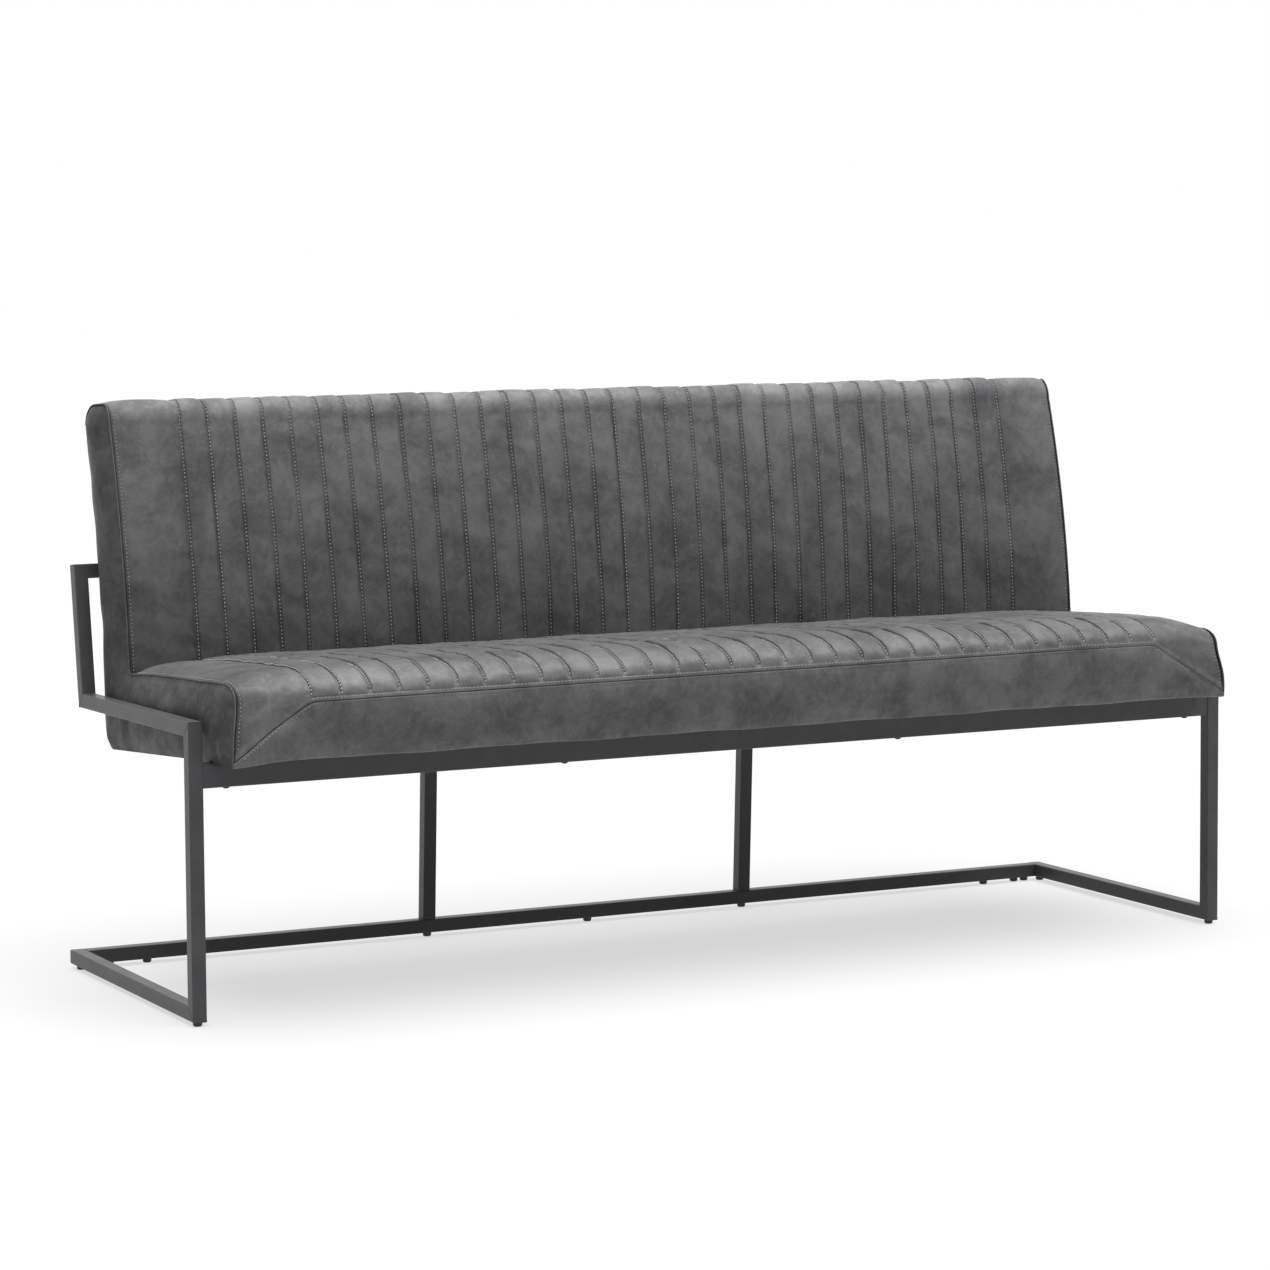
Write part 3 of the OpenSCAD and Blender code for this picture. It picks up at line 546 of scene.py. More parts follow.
def seatSkin(x):
    # the seat's skin without its channels: top, rolled nose and the strip down to the front seam
    s = seat
    full = (1 - shoulderAt(x))[:, None]
    top = shell["seatT"] + s["crown"] * full
    roll = s["endRoll"] + (s["noseRoll"] - s["endRoll"]) * full
    centre = roll - s["noseReach"] - s["noseBow"] * full
    q = np.concatenate([[-0.02, -0.008], np.linspace(0, 0.05, 7), np.linspace(0.05, 1, 38)[1:]])
    u = s["rearU"] + (centre - s["rearU"]) * np.clip(q, 0, 1)[None]
    w = top + s["swell"] * 4 * (q * (1 - q) * (q > 0))[None]
    w = w - s["tuck"] * np.exp(-(s["rearU"] - u) / 0.006)
    w = w - np.where(q < -0.01, 0.02, np.where(q < 0, 0.008, 0))[None]
    a = np.radians(np.linspace(90, 180, 34)[1:])[None]
    drop = np.concatenate([np.linspace(0, 0.8, 15)[1:], [0.87, 0.92, 0.96, 0.985, 1.0]])
    stripW = noseW + (seamAt(x) - noseW)[:, None] * drop[None]
    u = np.concatenate([u, centre + roll * np.cos(a), -reachAt(x[:, None], stripW)], 1)
    skin = toRow(x[:, None], u, np.concatenate([w, noseW + (top - noseW) * np.sin(a), stripW], 1))
    run = runAlong(skin)
    return skin, run, (run[:, -1:] - run) * slantAt(x), s["rearU"] - u


def seatPatch():
    # the seat's skin at every press station, from the row where it is tucked under the back
    x = pressStations()
    skin, run, toSeam, _ = seatSkin(x)
    rows = pressRows(skin, 0.008)
    rows = rows[rows >= 4]
    skin, run, toSeam = skin[:, rows], run[:, rows], toSeam[:, rows]
    start = channelStart(x, run, (toSeam - 0.004) / 0.016, seat["height"], 9, (0.09, 0.06, 0.0008), 67)
    return pressPatch(x, rows, skin, -gridNormals(skin), start, -1, 0.0008)


def seatSurface(x, relief):
    # the skin moved along its normals, as on the back, with a groove and a roll at the front seam
    s = seat
    skin, run, toSeam, fromRear = seatSkin(x)
    inset = halfWidth - np.abs(x[:, None])
    inward = smoothStep(0, 0.03, inset)
    fade = smoothStep(0.0050, 0.013, toSeam) * smoothStep(0.0, 0.012, fromRear)
    h = spreadRelief(relief, lapPlace(x, 43), run.shape[1])
    h = (h + seamDip(x, run, 17)) * fade - s["height"] * (0.45 + 0.55 * fade) + s["proud"]
    h = h - 0.0009 * hump(toSeam - 0.0066, 0.0011) + edgeRoll(toSeam, s["seamEdge"] * seamDepth(x))
    h = h + edgeRoll(inset, s["edge"]) - 0.0006 * hump(inset - s["stitchInset"], 0.0016) - 0.0008 * (1 - inward)
    h = h + ripple(x[:, None], run, s["waves"], 23) * inward * smoothStep(0, 0.02, toSeam)
    return skin - gridNormals(skin) * h[..., None], h, toSeam


def makeSeat(relief):
    # the seat's surface with three hidden points under it; its nose gets painted light, more at the left
    x = channelStations()
    points, h, toSeam = seatSurface(x, relief)
    under = np.full_like(x, 0.045)
    underW = np.stack([np.maximum(seamAt(x) - 0.002, 0.001), under, under], -1)
    hidden = toRow(x[:, None], np.array([[-0.075, -0.075, seat["rearU"]]]), underW)
    # painted light on the nose's upper part, more at the left and less at the right
    pull = seat["pull"] + seat["paintedLightEnds"] * (smoothStep(-0.35, -0.76, x) - smoothStep(0.30, 0.76, x))[:, None]
    pull = pull * (1 - smoothStep(0.015, 0.095, toSeam)) * smoothStep(0.442, 0.476, points[..., 2])
    return coverMesh("seatCover", points, hidden, h, np.concatenate([pull, np.zeros((len(x), 3))], 1), -1)


band = {
    "bulge": 0.0035, "edge": 0.0018, "foot": 0.007, "stitch": 0.0045, "proud": 0.0014, "innerU": -0.0753,
    # the last two values are painted light: the band a little lighter all over and more at its lower edge
    "waves": [(0.33, 0.22, 0.0016), (0.12, 0.11, 0.0008), (0.05, 0.06, 0.0002)], "pull": 0.08, "paintedLightLow": 0.22,
}
bandEdge = np.array([0, 0.3, 0.8, 1.5, 2.5, 4, 6, 9, 13, 18, 24, 31, 38, 46,
                     54, 62, 70, 78, 86, 93, 99, 103, 106, 109, 112]) / 1000


def bandSkin(x):
    # down from the seam to the foot, each height with the front's reach
    seam = seamAt(x) - 0.0006
    v = np.concatenate([[0, 0.012, 0.03, 0.055], np.linspace(0.09, 1, 26)])
    low = np.minimum(band["foot"], seam * 0.6)
    w = seam[:, None] + (low - seam)[:, None] * v[None]
    return -reachAt(x[:, None], w), w, v, seam, low


def bandPatch():
    # every third row of the band, started as a flat sine over its height
    x = np.linspace(-halfWidth, halfWidth, 160)
    u, w, v, seam, low = bandSkin(x)
    rows = np.arange(0, len(v), 3)
    rows[-1] = len(v) - 1
    skin = toRow(x[:, None], u, w)[:, rows]
    room = np.clip((seam - 0.007) / 0.08, 0, 1)[:, None]
    start = band["bulge"] * np.sin(np.pi * v[rows] ** 0.8)[None] * room
    start = start + ripple(x[:, None], w[:, rows], [(0.16, 0.10, 0.0008)], 71) * room
    return pressPatch(x, rows, skin, -gridNormals(skin), start, -1, 0.0016)


def bandSurface(x, relief):
    # the face from the seam down to its foot, and a rolled foot that turns under
    u, w, v, seam, low = bandSkin(x)
    low = low[:, None]
    toSeam = (seam[:, None] - w) * slantAt(x)
    inward = smoothStep(0, 0.02, halfWidth - np.abs(x[:, None]))
    h = edgeRoll(toSeam, band["edge"] * seamDepth(x)) + spreadRelief(relief, x, len(v))
    h = h + band["proud"] - 0.0005 * hump(toSeam - band["stitch"], 0.0013) - 0.0012 * (1 - inward)
    h = h + ripple(x[:, None], w, band["waves"], 31) * smoothStep(0, 0.014, toSeam) * inward
    u = u - h
    a = np.radians(np.linspace(0, 90, 8)[1:])[None]
    u = np.concatenate([u, u[:, -1:] + low * (1 - np.cos(a)) * 1.4], 1)
    w = np.concatenate([w, low * (1 - np.sin(a)) - 0.0010 * np.sin(a)], 1)
    return toRow(x[:, None], u, w), np.concatenate([h, np.zeros((len(x), a.size))], 1), seam


def makeBand(relief):
    # the band's surface with two hidden points behind it; painted light lightens it a little and its lower edge more
    middle = np.linspace(-channelHalf + 0.003, channelHalf - 0.003, 190)
    x = np.unique(np.concatenate([-halfWidth + bandEdge, middle, halfWidth - bandEdge]))
    points, h, seam = bandSurface(x, relief)
    hidden = toRow(x[:, None], band["innerU"], np.stack([np.full_like(x, 0.0004), seam - 0.0004], -1))
    z = np.concatenate([points, hidden], 1)[..., 2]
    # painted light, stronger at the lower edge where the light catches
    pull = band["pull"] + band["paintedLightLow"] * (1 - smoothStep(0.382, 0.43, z))
    return coverMesh("frontBand", points, hidden, h, pull, -1)


side = {
    "thick": 0.0090, "rightThick": 0.0055, "roll": 0.046, "draw": 0.003, "corner": 0.022, "off": 0.0003,
    "rows": 64, "cols": 190, "bulge": 0.0012, "piping": 0.0011, "pipingOff": 0.0009, "pipingOut": 0.0008, "step": 4,
}


def sideOutline():
    # the L's edges: over the seat, up the back, under, up the rear, the front and the top
    draw, corner = side["draw"], side["corner"]
    centre, top = seat["endRoll"] - seat["noseReach"], shell["seatT"] - draw
    noseArc = arc(centre, noseW, seat["endRoll"] - draw, top - noseW, 180, 90, 24)
    u = np.linspace(centre, back["faceU"], 60)[1:]
    q = (back["faceU"] - u) / (back["faceU"] - centre)
    first = np.concatenate([noseArc, np.stack([u, top + seat["swell"] * 4 * q * (1 - q)], -1)])
    w = np.linspace(top + 0.001, roundW, 60)
    face = np.stack([shellFace(w) + draw, w], -1)
    rearU = back["faceU"] + back["thick"]
    bottom = np.stack([np.linspace(draw - seat["footReach"], rearU - corner, 60), np.zeros(60)], -1)
    turn = arc(rearU - corner, corner, corner, corner, -90, 0, 14)
    w = np.linspace(corner, roundW, 60)[1:]
    rear = np.stack([shellFace(w) + back["thick"], w], -1)
    w = np.linspace(noseW, 0, 40)
    front = np.stack([draw - reachAt(halfWidth, w), w], -1)
    high, round1, round2 = back["roundH"] - draw, back["frontRound"], back["rearRound"]
    topEdge = np.concatenate([arc(face[-1, 0] - draw + round1, roundW, round1 - draw, high, 180, 90, 20),
                              arc(rear[-1, 0] - round2, roundW, round2, high, 90, 0, 20)])
    topEdge[0], topEdge[-1] = face[-1], rear[-1]
    return first, face, np.concatenate([bottom, turn[:8]]), np.concatenate([turn[7:], rear]), front, topEdge


def resample(chain, t):
    # points at shares t of the chain's length
    run = runAlong(chain)
    return np.stack([np.interp(t, run / run[-1], chain[:, k]) for k in range(2)], -1)


def toChain(points, chain):
    # least distance from each point to the chain's straight pieces
    a, span = chain[:-1], np.diff(chain, axis=0)
    keep = (span ** 2).sum(1) > 1e-14
    a, span = a[keep], span[keep]
    offset = points[:, None] - a[None]
    t = np.clip((offset * span[None]).sum(-1) / (span ** 2).sum(1)[None], 0, 1)
    return np.sqrt(((offset - t[..., None] * span[None]) ** 2).sum(-1)).min(1)


def sideSurface():
    # a Coons patch over the L's four edges
    first, face, low, rear, front, top = sideOutline()
    s = np.linspace(0, 1, side["cols"])
    s = s - 0.24 * np.sin(2 * np.pi * s) / (2 * np.pi)
    t = np.linspace(0, 1, side["rows"])
    t = t - 0.75 * np.sin(2 * np.pi * t) / (2 * np.pi)
    a, b = (np.where(s[:, None] < 0.5, resample(one, np.clip(2 * s, 0, 1)), resample(two, np.clip(2 * s - 1, 0, 1)))
            for one, two in ((first, face), (low, rear)))
    c0, c1 = resample(front, t), resample(top, t)
    sg, tg = s[:, None, None], t[None, :, None]
    ruled = (1 - tg) * a[:, None] + tg * b[:, None] + (1 - sg) * c0[None] + sg * c1[None]
    corners = (1 - sg) * ((1 - tg) * c0[0] + tg * c0[-1]) + sg * ((1 - tg) * c1[0] + tg * c1[-1])
    flat = ruled - corners
    rim = np.concatenate([flat[0], flat[1:, -1], flat[-1, -2::-1], flat[-2::-1, 0]])
    distance = toChain(flat.reshape(-1, 2), rim).reshape(flat.shape[:2])
    distance[0] = distance[-1] = distance[:, 0] = distance[:, -1] = 0
    return flat, distance


def sidePatch(flat, distance, sign):
    # every few rows and columns of the panel, started as a low bulge with one soft wave
    cols, rows = (np.unique(np.append(np.arange(0, side[k], side["step"]), side[k] - 1)) for k in ("cols", "rows"))
    part, room = flat[np.ix_(cols, rows)], distance[np.ix_(cols, rows)]
    skin = toRow(sign * halfWidth, part[..., 0], part[..., 1])
    normals = np.zeros(skin.shape)
    normals[..., 0] = sign
    wave = ripple(part[..., 0], part[..., 1], [(0.12, 0.10, 0.0010)], 73 + sign)
    start = side["bulge"] * (1 - np.exp(-room / 0.02)) + wave * smoothStep(0, 0.02, room)
    # the grid's own normal points along +X when the columns run forward to top and the rows inward to rim
    facing = sign * float(np.sign(gridNormals(skin)[len(cols) // 4, len(rows) // 2, 0]))
    return pressPatch(cols.astype(float), rows, skin, normals, start, facing, 0.0012, room < 1e-6)


def makeSide(name, sign, flat, distance, relief):
    # an outer sheet that rolls down to its rim as a parabola, and a flat inner one that shares the rim's points
    d = np.clip(distance / side["roll"], 0, 1)
    rise = side["rightThick" if sign > 0 else "thick"] * (1 - (1 - d) ** 2)
    puff = spreadRelief(relief, np.arange(side["cols"], dtype=float), side["rows"])
    rise = rise + puff * smoothStep(0, 0.012, distance)
    start = halfWidth + side["off"]
    outer, inner = (toRow(sign * x, flat[..., 0], flat[..., 1]) for x in (start + rise, start))
    n, m = rise.shape
    out = gridQuads(n, m)
    same = np.arange(n * m).reshape(n, m)
    index = n * m + same
    index[0], index[-1], index[:, 0], index[:, -1] = same[0], same[-1], same[:, 0], same[:, -1]
    quads = np.concatenate([out, index.ravel()[out][:, ::-1]])
    if gridNormals(outer)[n // 4, m // 2, 0] * sign < 0:
        quads = quads[:, ::-1]
    used = np.unique(quads)
    remap = np.full(2 * n * m, -1)
    remap[used] = np.arange(len(used))
    verts = np.concatenate([outer.reshape(-1, 3), inner.reshape(-1, 3)])[used]
    return buildMesh(name, verts, remap[quads], (), np.concatenate([rise.ravel(), np.zeros(n * m)])[used])


print("pressing the covers")
flat, distance = sideSurface()
patches = [backPatch(), seatPatch(), bandPatch(), sidePatch(flat, distance, -1), sidePatch(flat, distance, 1)]
backRelief, seatRelief, bandRelief, leftRelief, rightRelief = map(reliefOf, patches, pressCovers(patches))

print("upholstery")
backCover = makeBack(backRelief)
seatCover = makeSeat(seatRelief)
frontBand = makeBand(bandRelief)
leftSide = makeSide("leftSidePanel", -1, flat, distance, leftRelief)
rightSide = makeSide("rightSidePanel", 1, flat, distance, rightRelief)


def pipingPath(sign):
    # the seam between a side panel and the fronts, from the seat's foot over the nose to the back's top
    first, face, low, rear, front, top = sideOutline()
    chain = np.concatenate([front[::-1], first[1:], face[1:], top[1:-1]])
    chain = resample(chain, np.linspace(0, 1, int(runAlong(chain)[-1] / 0.004)))
    chain = chain + leftOf(chain) * side["pipingOut"]
    return toRow(sign * (halfWidth + side["pipingOff"]), chain[:, 0], chain[:, 1])


pipings = [tubeMesh(name, pipingPath(sign), side["piping"]) for name, sign in (("leftPiping", -1), ("rightPiping", 1))]

print("stitching")


def seamPath(surface, relief, facing, x, rows=slice(None)):
    # the cover's points and outward normals along one station
    points = surface(np.array([x - 0.0003, x, x + 0.0003]), relief)[0]
    return points[1][rows], (gridNormals(points) * facing)[1][rows]


def nearestRow(points, off, distance):
    # at each station the point whose distance off a seam is nearest to the one asked for
    index, stations = np.abs(off - distance).argmin(1), np.arange(len(points))
    return points[stations, index], -gridNormals(points)[stations, index]


def hemPath():
    # the row of stitches that runs beside the front seam on the seat
    points, _, toSeam = seatSurface(np.linspace(-channelHalf, channelHalf, 500), seatRelief)
    return nearestRow(points, toSeam, seat["hemStitch"])


def bandPath(sign):
    # the row beside a diagonal seam on the front band; the right one stops half way
    last = 0.012 if sign < 0 else 0.058
    points = bandSurface(np.sort(sign * np.linspace(channelHalf - 0.004, halfWidth - last, 80)), bandRelief)[0]
    return nearestRow(points, runAlong(points) * seat["slant"], band["stitch"])


backRows, seatRows, edgeRows = [], [], []
backSpan, seatSpan = slice(3, -4), slice(6, -4)
for x in seams + channel["stitchSide"]:
    backRows.append(stitchRow(*seamPath(backSurface, backRelief, 1, x, backSpan), "row"))
    keep = np.nonzero((seatSkin(np.array([x]))[2][0] > 0.0075))[0]
    seatRows.append(stitchRow(*seamPath(seatSurface, seatRelief, -1, x, keep[keep > 4]), "row"))
for sign in (-1, 1):
    x = sign * (halfWidth - back["stitchInset"])
    edgeRows.append(stitchRow(*seamPath(backSurface, backRelief, 1, x, backSpan), "edge"))
    edgeRows.append(stitchRow(*seamPath(seatSurface, seatRelief, -1, x, seatSpan), "edge"))
for path in (hemPath(), bandPath(-1), bandPath(1)):
    edgeRows.append(stitchRow(*path, "edge"))
stitches = [stitchMesh(name, rows) for name, rows in (
    ("backStitches", backRows), ("seatStitches", seatRows), ("edgeStitches", edgeRows))]

print("welds")
steel = {"half": 0.011, "round": 0.002, "x": 0.889, "midY": 0.227236, "bead": 0.00055, "flat": 0.6, "off": 0.00012}
# the side frame's mitred corners in Y and Z, each with its two neighbours
heel, foot, knee, hip = (0.5435, 0.018), (0.011, 0.018), (0.011, 0.435), (0.473, 0.430)
head = (hip[0] + 0.198 * math.tan(math.radians(8)), 0.628)
corners = [(foot, heel, knee), (knee, foot, hip), (hip, knee, head)]


def weldLoop(corner, p, q):
    # the tube's rounded square carried onto the plane that halves the corner: the one square to axis - other
    corner, p, q = np.array(corner), np.array(p), np.array(q)
    axis = unit(p - corner)
    across = np.array([-axis[1], axis[0]])
    turn = axis - unit(q - corner)
    half, r = steel["half"] + steel["off"], steel["round"]
    a = np.radians(np.concatenate([np.linspace(k * 90, k * 90 + 90, 7) for k in range(4)]))
    cx = np.repeat([1, -1, -1, 1], 7) * (half - r) + r * np.cos(a)
    cn = (np.repeat([1, 1, -1, -1], 7) * (half - r) + r * np.sin(a))[:, None]
    return cx, corner[None] + cn * across[None] - cn * (across @ turn) / (axis @ turn) * axis[None]


def makeWelds():
    # a flat bead round each mitre: six points on an ellipse carried along its loop
    verts, quads, offset = [], [], 0
    for sign in (-1, 1):
        for corner, p, q in corners:
            cx, yz = weldLoop(corner, p, q)
            path = np.stack([sign * steel["x"] + cx, yz[:, 0] - steel["midY"], yz[:, 1]], -1)
            path = path[np.linalg.norm(np.roll(path, -1, 0) - path, axis=1) > 1e-6]
            out = unit(path - path.mean(0))
            flatWay = unit(np.cross(unit(np.roll(path, -1, 0) - np.roll(path, 1, 0)), out))
            quads.append(offset + gridQuads(len(path), 6, True, True))
            verts.append(circles(path, steel["flat"] * out, flatWay, steel["bead"], 6).reshape(-1, 3))
            offset += len(verts[-1])
    return buildMesh("weldBeads", np.concatenate(verts), np.concatenate(quads))


welds = makeWelds()
print("materials")


def feed(socket, value):
    # a socket takes a link, a number, a vector or a colour without its alpha
    if isinstance(value, bpy.types.NodeSocket):
        socket.id_data.links.new(value, socket)
    elif isinstance(value, tuple) and len(value) < len(socket.default_value):
        socket.default_value = (*value, 1)
    else:
        socket.default_value = value


def newNode(tree, kind, feeds, **settings):
    # a node with its settings, and each named or numbered socket fed
    node = tree.nodes.new(kind)
    for key, value in settings.items():
        setattr(node, key, value)
    for key, value in feeds.items():
        feed(node.inputs[key], value)
    return node


def startGroup(name, inputs, outputs):
    # a node group with its sockets, its input node and its output node
    tree = bpy.data.node_groups.new(name, "ShaderNodeTree")
    for label, kind, value in inputs:
        socket = tree.interface.new_socket(name=label, in_out="INPUT", socket_type=kind)
        if value is not None:
            socket.default_value = value
    for label, kind in outputs:
        tree.interface.new_socket(name=label, in_out="OUTPUT", socket_type=kind)
    return tree, tree.nodes.new("NodeGroupInput"), tree.nodes.new("NodeGroupOutput")


def noiseNode(vector, scale, detail, rough, distortion=0.0):
    # a fractal noise, as one value
    feeds = {"Vector": vector, "Scale": scale, "Detail": detail, "Roughness": rough, "Distortion": distortion}
    return newNode(vector.id_data, "ShaderNodeTexNoise", feeds).outputs["Fac"]


def mathNode(operation, *values):
    # one operation on one or two values
    return newNode(values[0].id_data, "ShaderNodeMath", dict(enumerate(values)), operation=operation).outputs[0]


def rangeNode(value, low, high, toLow=0.0, toHigh=1.0):
    # a smooth step from toLow at low to toHigh at high
    feeds = {"Value": value, "From Min": low, "From Max": high, "To Min": toLow, "To Max": toHigh}
    return newNode(value.id_data, "ShaderNodeMapRange", feeds, interpolation_type="SMOOTHSTEP").outputs["Result"]


def mixColour(factor, a, b, blend="MIX"):
    # a blended into b by a factor
    tree = factor.id_data
    return newNode(tree, "ShaderNodeMix", {0: factor, 6: a, 7: b}, data_type="RGBA", blend_type=blend).outputs[2]


# scale, detail, roughness and distortion of each noise in the hide's mottle, and how much it adds to the tone
mottleNoise = {
    "broad": (1.0, 5, 0.62, 0.5), "blotch": (3.3, 6, 0.70, 1.4), "fine": (13.0, 4, 0.65, 1.0),
    "scuffs": (7.0, 7, 0.75, 2.2), "fold": (2.1, 6, 0.6, 1.6),
}
mottleShare = {"broad": 0.56, "blotch": 0.30, "fine": 0.14, "scuffs": 0.34, "veins": 0.20}


def makeMottle():
    # cloudy tones of a waxed hide: broad clouds, smaller blotches, faint pale scuffs and thin veins
    tree, start, end = startGroup("waxedMottle", [
        ("Vector", "NodeSocketVector", None), ("Dark", "NodeSocketColor", (0.04, 0.04, 0.042, 1)),
        ("Light", "NodeSocketColor", (0.1, 0.1, 0.1, 1)), ("Scuff", "NodeSocketColor", (0.16, 0.16, 0.155, 1)),
        ("Cloud Scale", "NodeSocketFloat", 8.0)], [("Color", "NodeSocketColor"), ("Mask", "NodeSocketFloat")])
    noise = {}
    for key, (times, *rest) in mottleNoise.items():
        scale = mathNode("MULTIPLY", start.outputs["Cloud Scale"], times)
        noise[key] = noiseNode(start.outputs["Vector"], scale, *rest)
    parts = [mathNode("MULTIPLY", noise[key], mottleShare[key]) for key in ("broad", "blotch", "fine")]
    mixed = mathNode("ADD", mathNode("ADD", parts[0], parts[1]), parts[2])
    tone = rangeNode(mixed, 0.33, 0.67)
    colour = mixColour(tone, start.outputs["Dark"], start.outputs["Light"])
    scuffs = mathNode("MULTIPLY", rangeNode(noise["scuffs"], 0.60, 0.78), rangeNode(noise["blotch"], 0.45, 0.7))
    ridge = rangeNode(mathNode("ABSOLUTE", mathNode("SUBTRACT", noise["fold"], 0.5)), 0.0, 0.014, 1.0, 0.0)
    veins = mathNode("MULTIPLY", ridge, rangeNode(noise["blotch"], 0.42, 0.62))
    for mask, key in ((scuffs, "scuffs"), (veins, "veins")):
        colour = mixColour(mathNode("MULTIPLY", mask, mottleShare[key]), colour, start.outputs["Scuff"])
    feed(end.inputs["Color"], colour)
    feed(end.inputs["Mask"], tone)
    return tree


def makeHideGrain():
    # pebbles of a fine hide with soft creases between them
    tree, start, end = startGroup("hideGrain", [
        ("Vector", "NodeSocketVector", None), ("Pebble Scale", "NodeSocketFloat", 700.0)],
        [("Height", "NodeSocketFloat")])
    v, scale = start.outputs["Vector"], start.outputs["Pebble Scale"]
    cells = newNode(tree, "ShaderNodeTexVoronoi", {"Vector": v, "Scale": scale}, feature="F1").outputs["Distance"]
    warp = noiseNode(v, mathNode("MULTIPLY", scale, 0.35), 4, 0.6, 0.4)
    crease = noiseNode(v, mathNode("MULTIPLY", scale, 0.06), 5, 0.6, 1.6)
    parts = [mathNode("MULTIPLY", part, share) for part, share in ((cells, -0.5), (warp, 0.7), (crease, 0.9))]
    feed(end.inputs["Height"], mathNode("ADD", mathNode("ADD", parts[0], parts[1]), parts[2]))
    return tree


def makePeel():
    # orange peel and fine dust of a powder coat
    tree, start, end = startGroup("powderPeel", [
        ("Vector", "NodeSocketVector", None), ("Peel Scale", "NodeSocketFloat", 900.0)],
        [("Height", "NodeSocketFloat"), ("Mask", "NodeSocketFloat")])
    v, scale = start.outputs["Vector"], start.outputs["Peel Scale"]
    feed(end.inputs["Height"], noiseNode(v, scale, 2, 0.5))
    feed(end.inputs["Mask"], noiseNode(v, mathNode("MULTIPLY", scale, 0.02), 4, 0.6))
    return tree


mottle, hideGrain, peel = makeMottle(), makeHideGrain(), makePeel()


def startMaterial(name):
    # a material with one shader, and the object's own coordinates
    material = bpy.data.materials.new(name)
    material.use_nodes = True
    tree = material.node_tree
    tree.nodes.clear()
    shader = tree.nodes.new("ShaderNodeBsdfPrincipled")
    newNode(tree, "ShaderNodeOutputMaterial", {0: shader.outputs[0]})
    return material, tree, shader, tree.nodes.new("ShaderNodeTexCoord").outputs["Object"]


def addBump(shader, height, strength, distance):
    # fine relief, as a change of the shader's normal
    bump = newNode(shader.id_data, "ShaderNodeBump", {"Height": height, "Strength": strength, "Distance": distance})
    feed(shader.inputs["Normal"], bump.outputs["Normal"])


leather = {
    "Dark": (0.074, 0.074, 0.078), "Light": (0.168, 0.168, 0.167), "Scuff": (0.27, 0.27, 0.265),
    "cloudScale": 11.0, "pebbleScale": 760.0, "bump": 0.32, "distance": 0.00035, "roughLow": 0.40, "roughHigh": 0.58,
    # painted shade in the seam valleys: the colour is multiplied darker where the relief sinks low
    "grooveShade": (0.50, 0.50, 0.51), "grooveShadeShare": 0.8, "grooveShadeFrom": -0.0027, "grooveShadeTo": -0.0005,
}


def makeLeather(name, useCrest, offset, tone=1.0, gloss=0.18):
    # mottled tones, with painted shade low in the grooves and painted light and shade scaled by a value that the mesh
    # carries
    material, tree, shader, vector = startMaterial(name)
    vector = newNode(tree, "ShaderNodeMapping", {"Vector": vector, "Location": offset}).outputs["Vector"]
    feeds = {key: tuple(tone * v for v in leather[key]) for key in ("Dark", "Light", "Scuff")}
    feeds = {"Vector": vector, "Cloud Scale": leather["cloudScale"], **feeds}
    clouds = newNode(tree, "ShaderNodeGroup", feeds, node_tree=mottle)
    colour = clouds.outputs["Color"]
    if useCrest:
        crest, pull = (newNode(tree, "ShaderNodeAttribute", {}, attribute_name=key).outputs["Fac"]
                       for key in ("crest", "pull"))
        # painted shade, deepest on the valleys' floors
        low = rangeNode(crest, leather["grooveShadeFrom"], leather["grooveShadeTo"], 1.0, 0.0)
        low = mathNode("MULTIPLY", low, leather["grooveShadeShare"])
        colour = mixColour(low, colour, leather["grooveShade"], "MULTIPLY")
        # painted light and shade: the colour is scaled up where the mesh's value is positive and down where it is
        # negative
        times = mathNode("ADD", pull, 1.0)
        colour = newNode(tree, "ShaderNodeVectorMath", {0: colour, "Scale": times}, operation="SCALE").outputs[0]
    feed(shader.inputs["Base Color"], colour)
    rough = rangeNode(clouds.outputs["Mask"], 0.0, 1.0, leather["roughHigh"], leather["roughLow"])
    feed(shader.inputs["Roughness"], rough)
    feeds = {"Vector": vector, "Pebble Scale": leather["pebbleScale"]}
    grain = newNode(tree, "ShaderNodeGroup", feeds, node_tree=hideGrain)
    addBump(shader, grain.outputs["Height"], leather["bump"], leather["distance"])
    shader.inputs["Specular IOR Level"].default_value = gloss
    return material


coat = {
    "low": (0.074, 0.076, 0.080), "high": (0.090, 0.092, 0.096), "roughLow": 0.34, "roughHigh": 0.42,
    "peelScale": 1100.0, "bump": 0.12, "distance": 0.0002, "gloss": 0.24,
}


def makePowderCoat():
    # two near tones that change with the dust, and a faint orange peel
    material, tree, shader, vector = startMaterial("anthracitePowderCoat")
    node = newNode(tree, "ShaderNodeGroup", {"Vector": vector, "Peel Scale": coat["peelScale"]}, node_tree=peel)
    dust = node.outputs["Mask"]
    feed(shader.inputs["Base Color"], mixColour(rangeNode(dust, 0.35, 0.7), coat["low"], coat["high"]))
    feed(shader.inputs["Roughness"], rangeNode(dust, 0.3, 0.7, coat["roughLow"], coat["roughHigh"]))
    addBump(shader, node.outputs["Height"], coat["bump"], coat["distance"])
    shader.inputs["Specular IOR Level"].default_value = coat["gloss"]
    return material


def makePlain(name, low, high, scale, rough, bumpScale, bumpStrength, metallic=0.0, stretch=(1, 1, 1)):
    # two tones that change over the surface, with a fine bump
    material, tree, shader, vector = startMaterial(name)
    vector = newNode(tree, "ShaderNodeMapping", {"Vector": vector, "Scale": stretch}).outputs["Vector"]
    tone = noiseNode(vector, scale, 5, 0.6, 0.4)
    feed(shader.inputs["Base Color"], mixColour(rangeNode(tone, 0.35, 0.65), low, high))
    feed(shader.inputs["Roughness"], rangeNode(tone, 0.3, 0.7, rough - 0.05, rough + 0.05))
    addBump(shader, noiseNode(vector, bumpScale, 3, 0.6), bumpStrength, 0.0003)
    shader.inputs["Metallic"].default_value = metallic
    return material


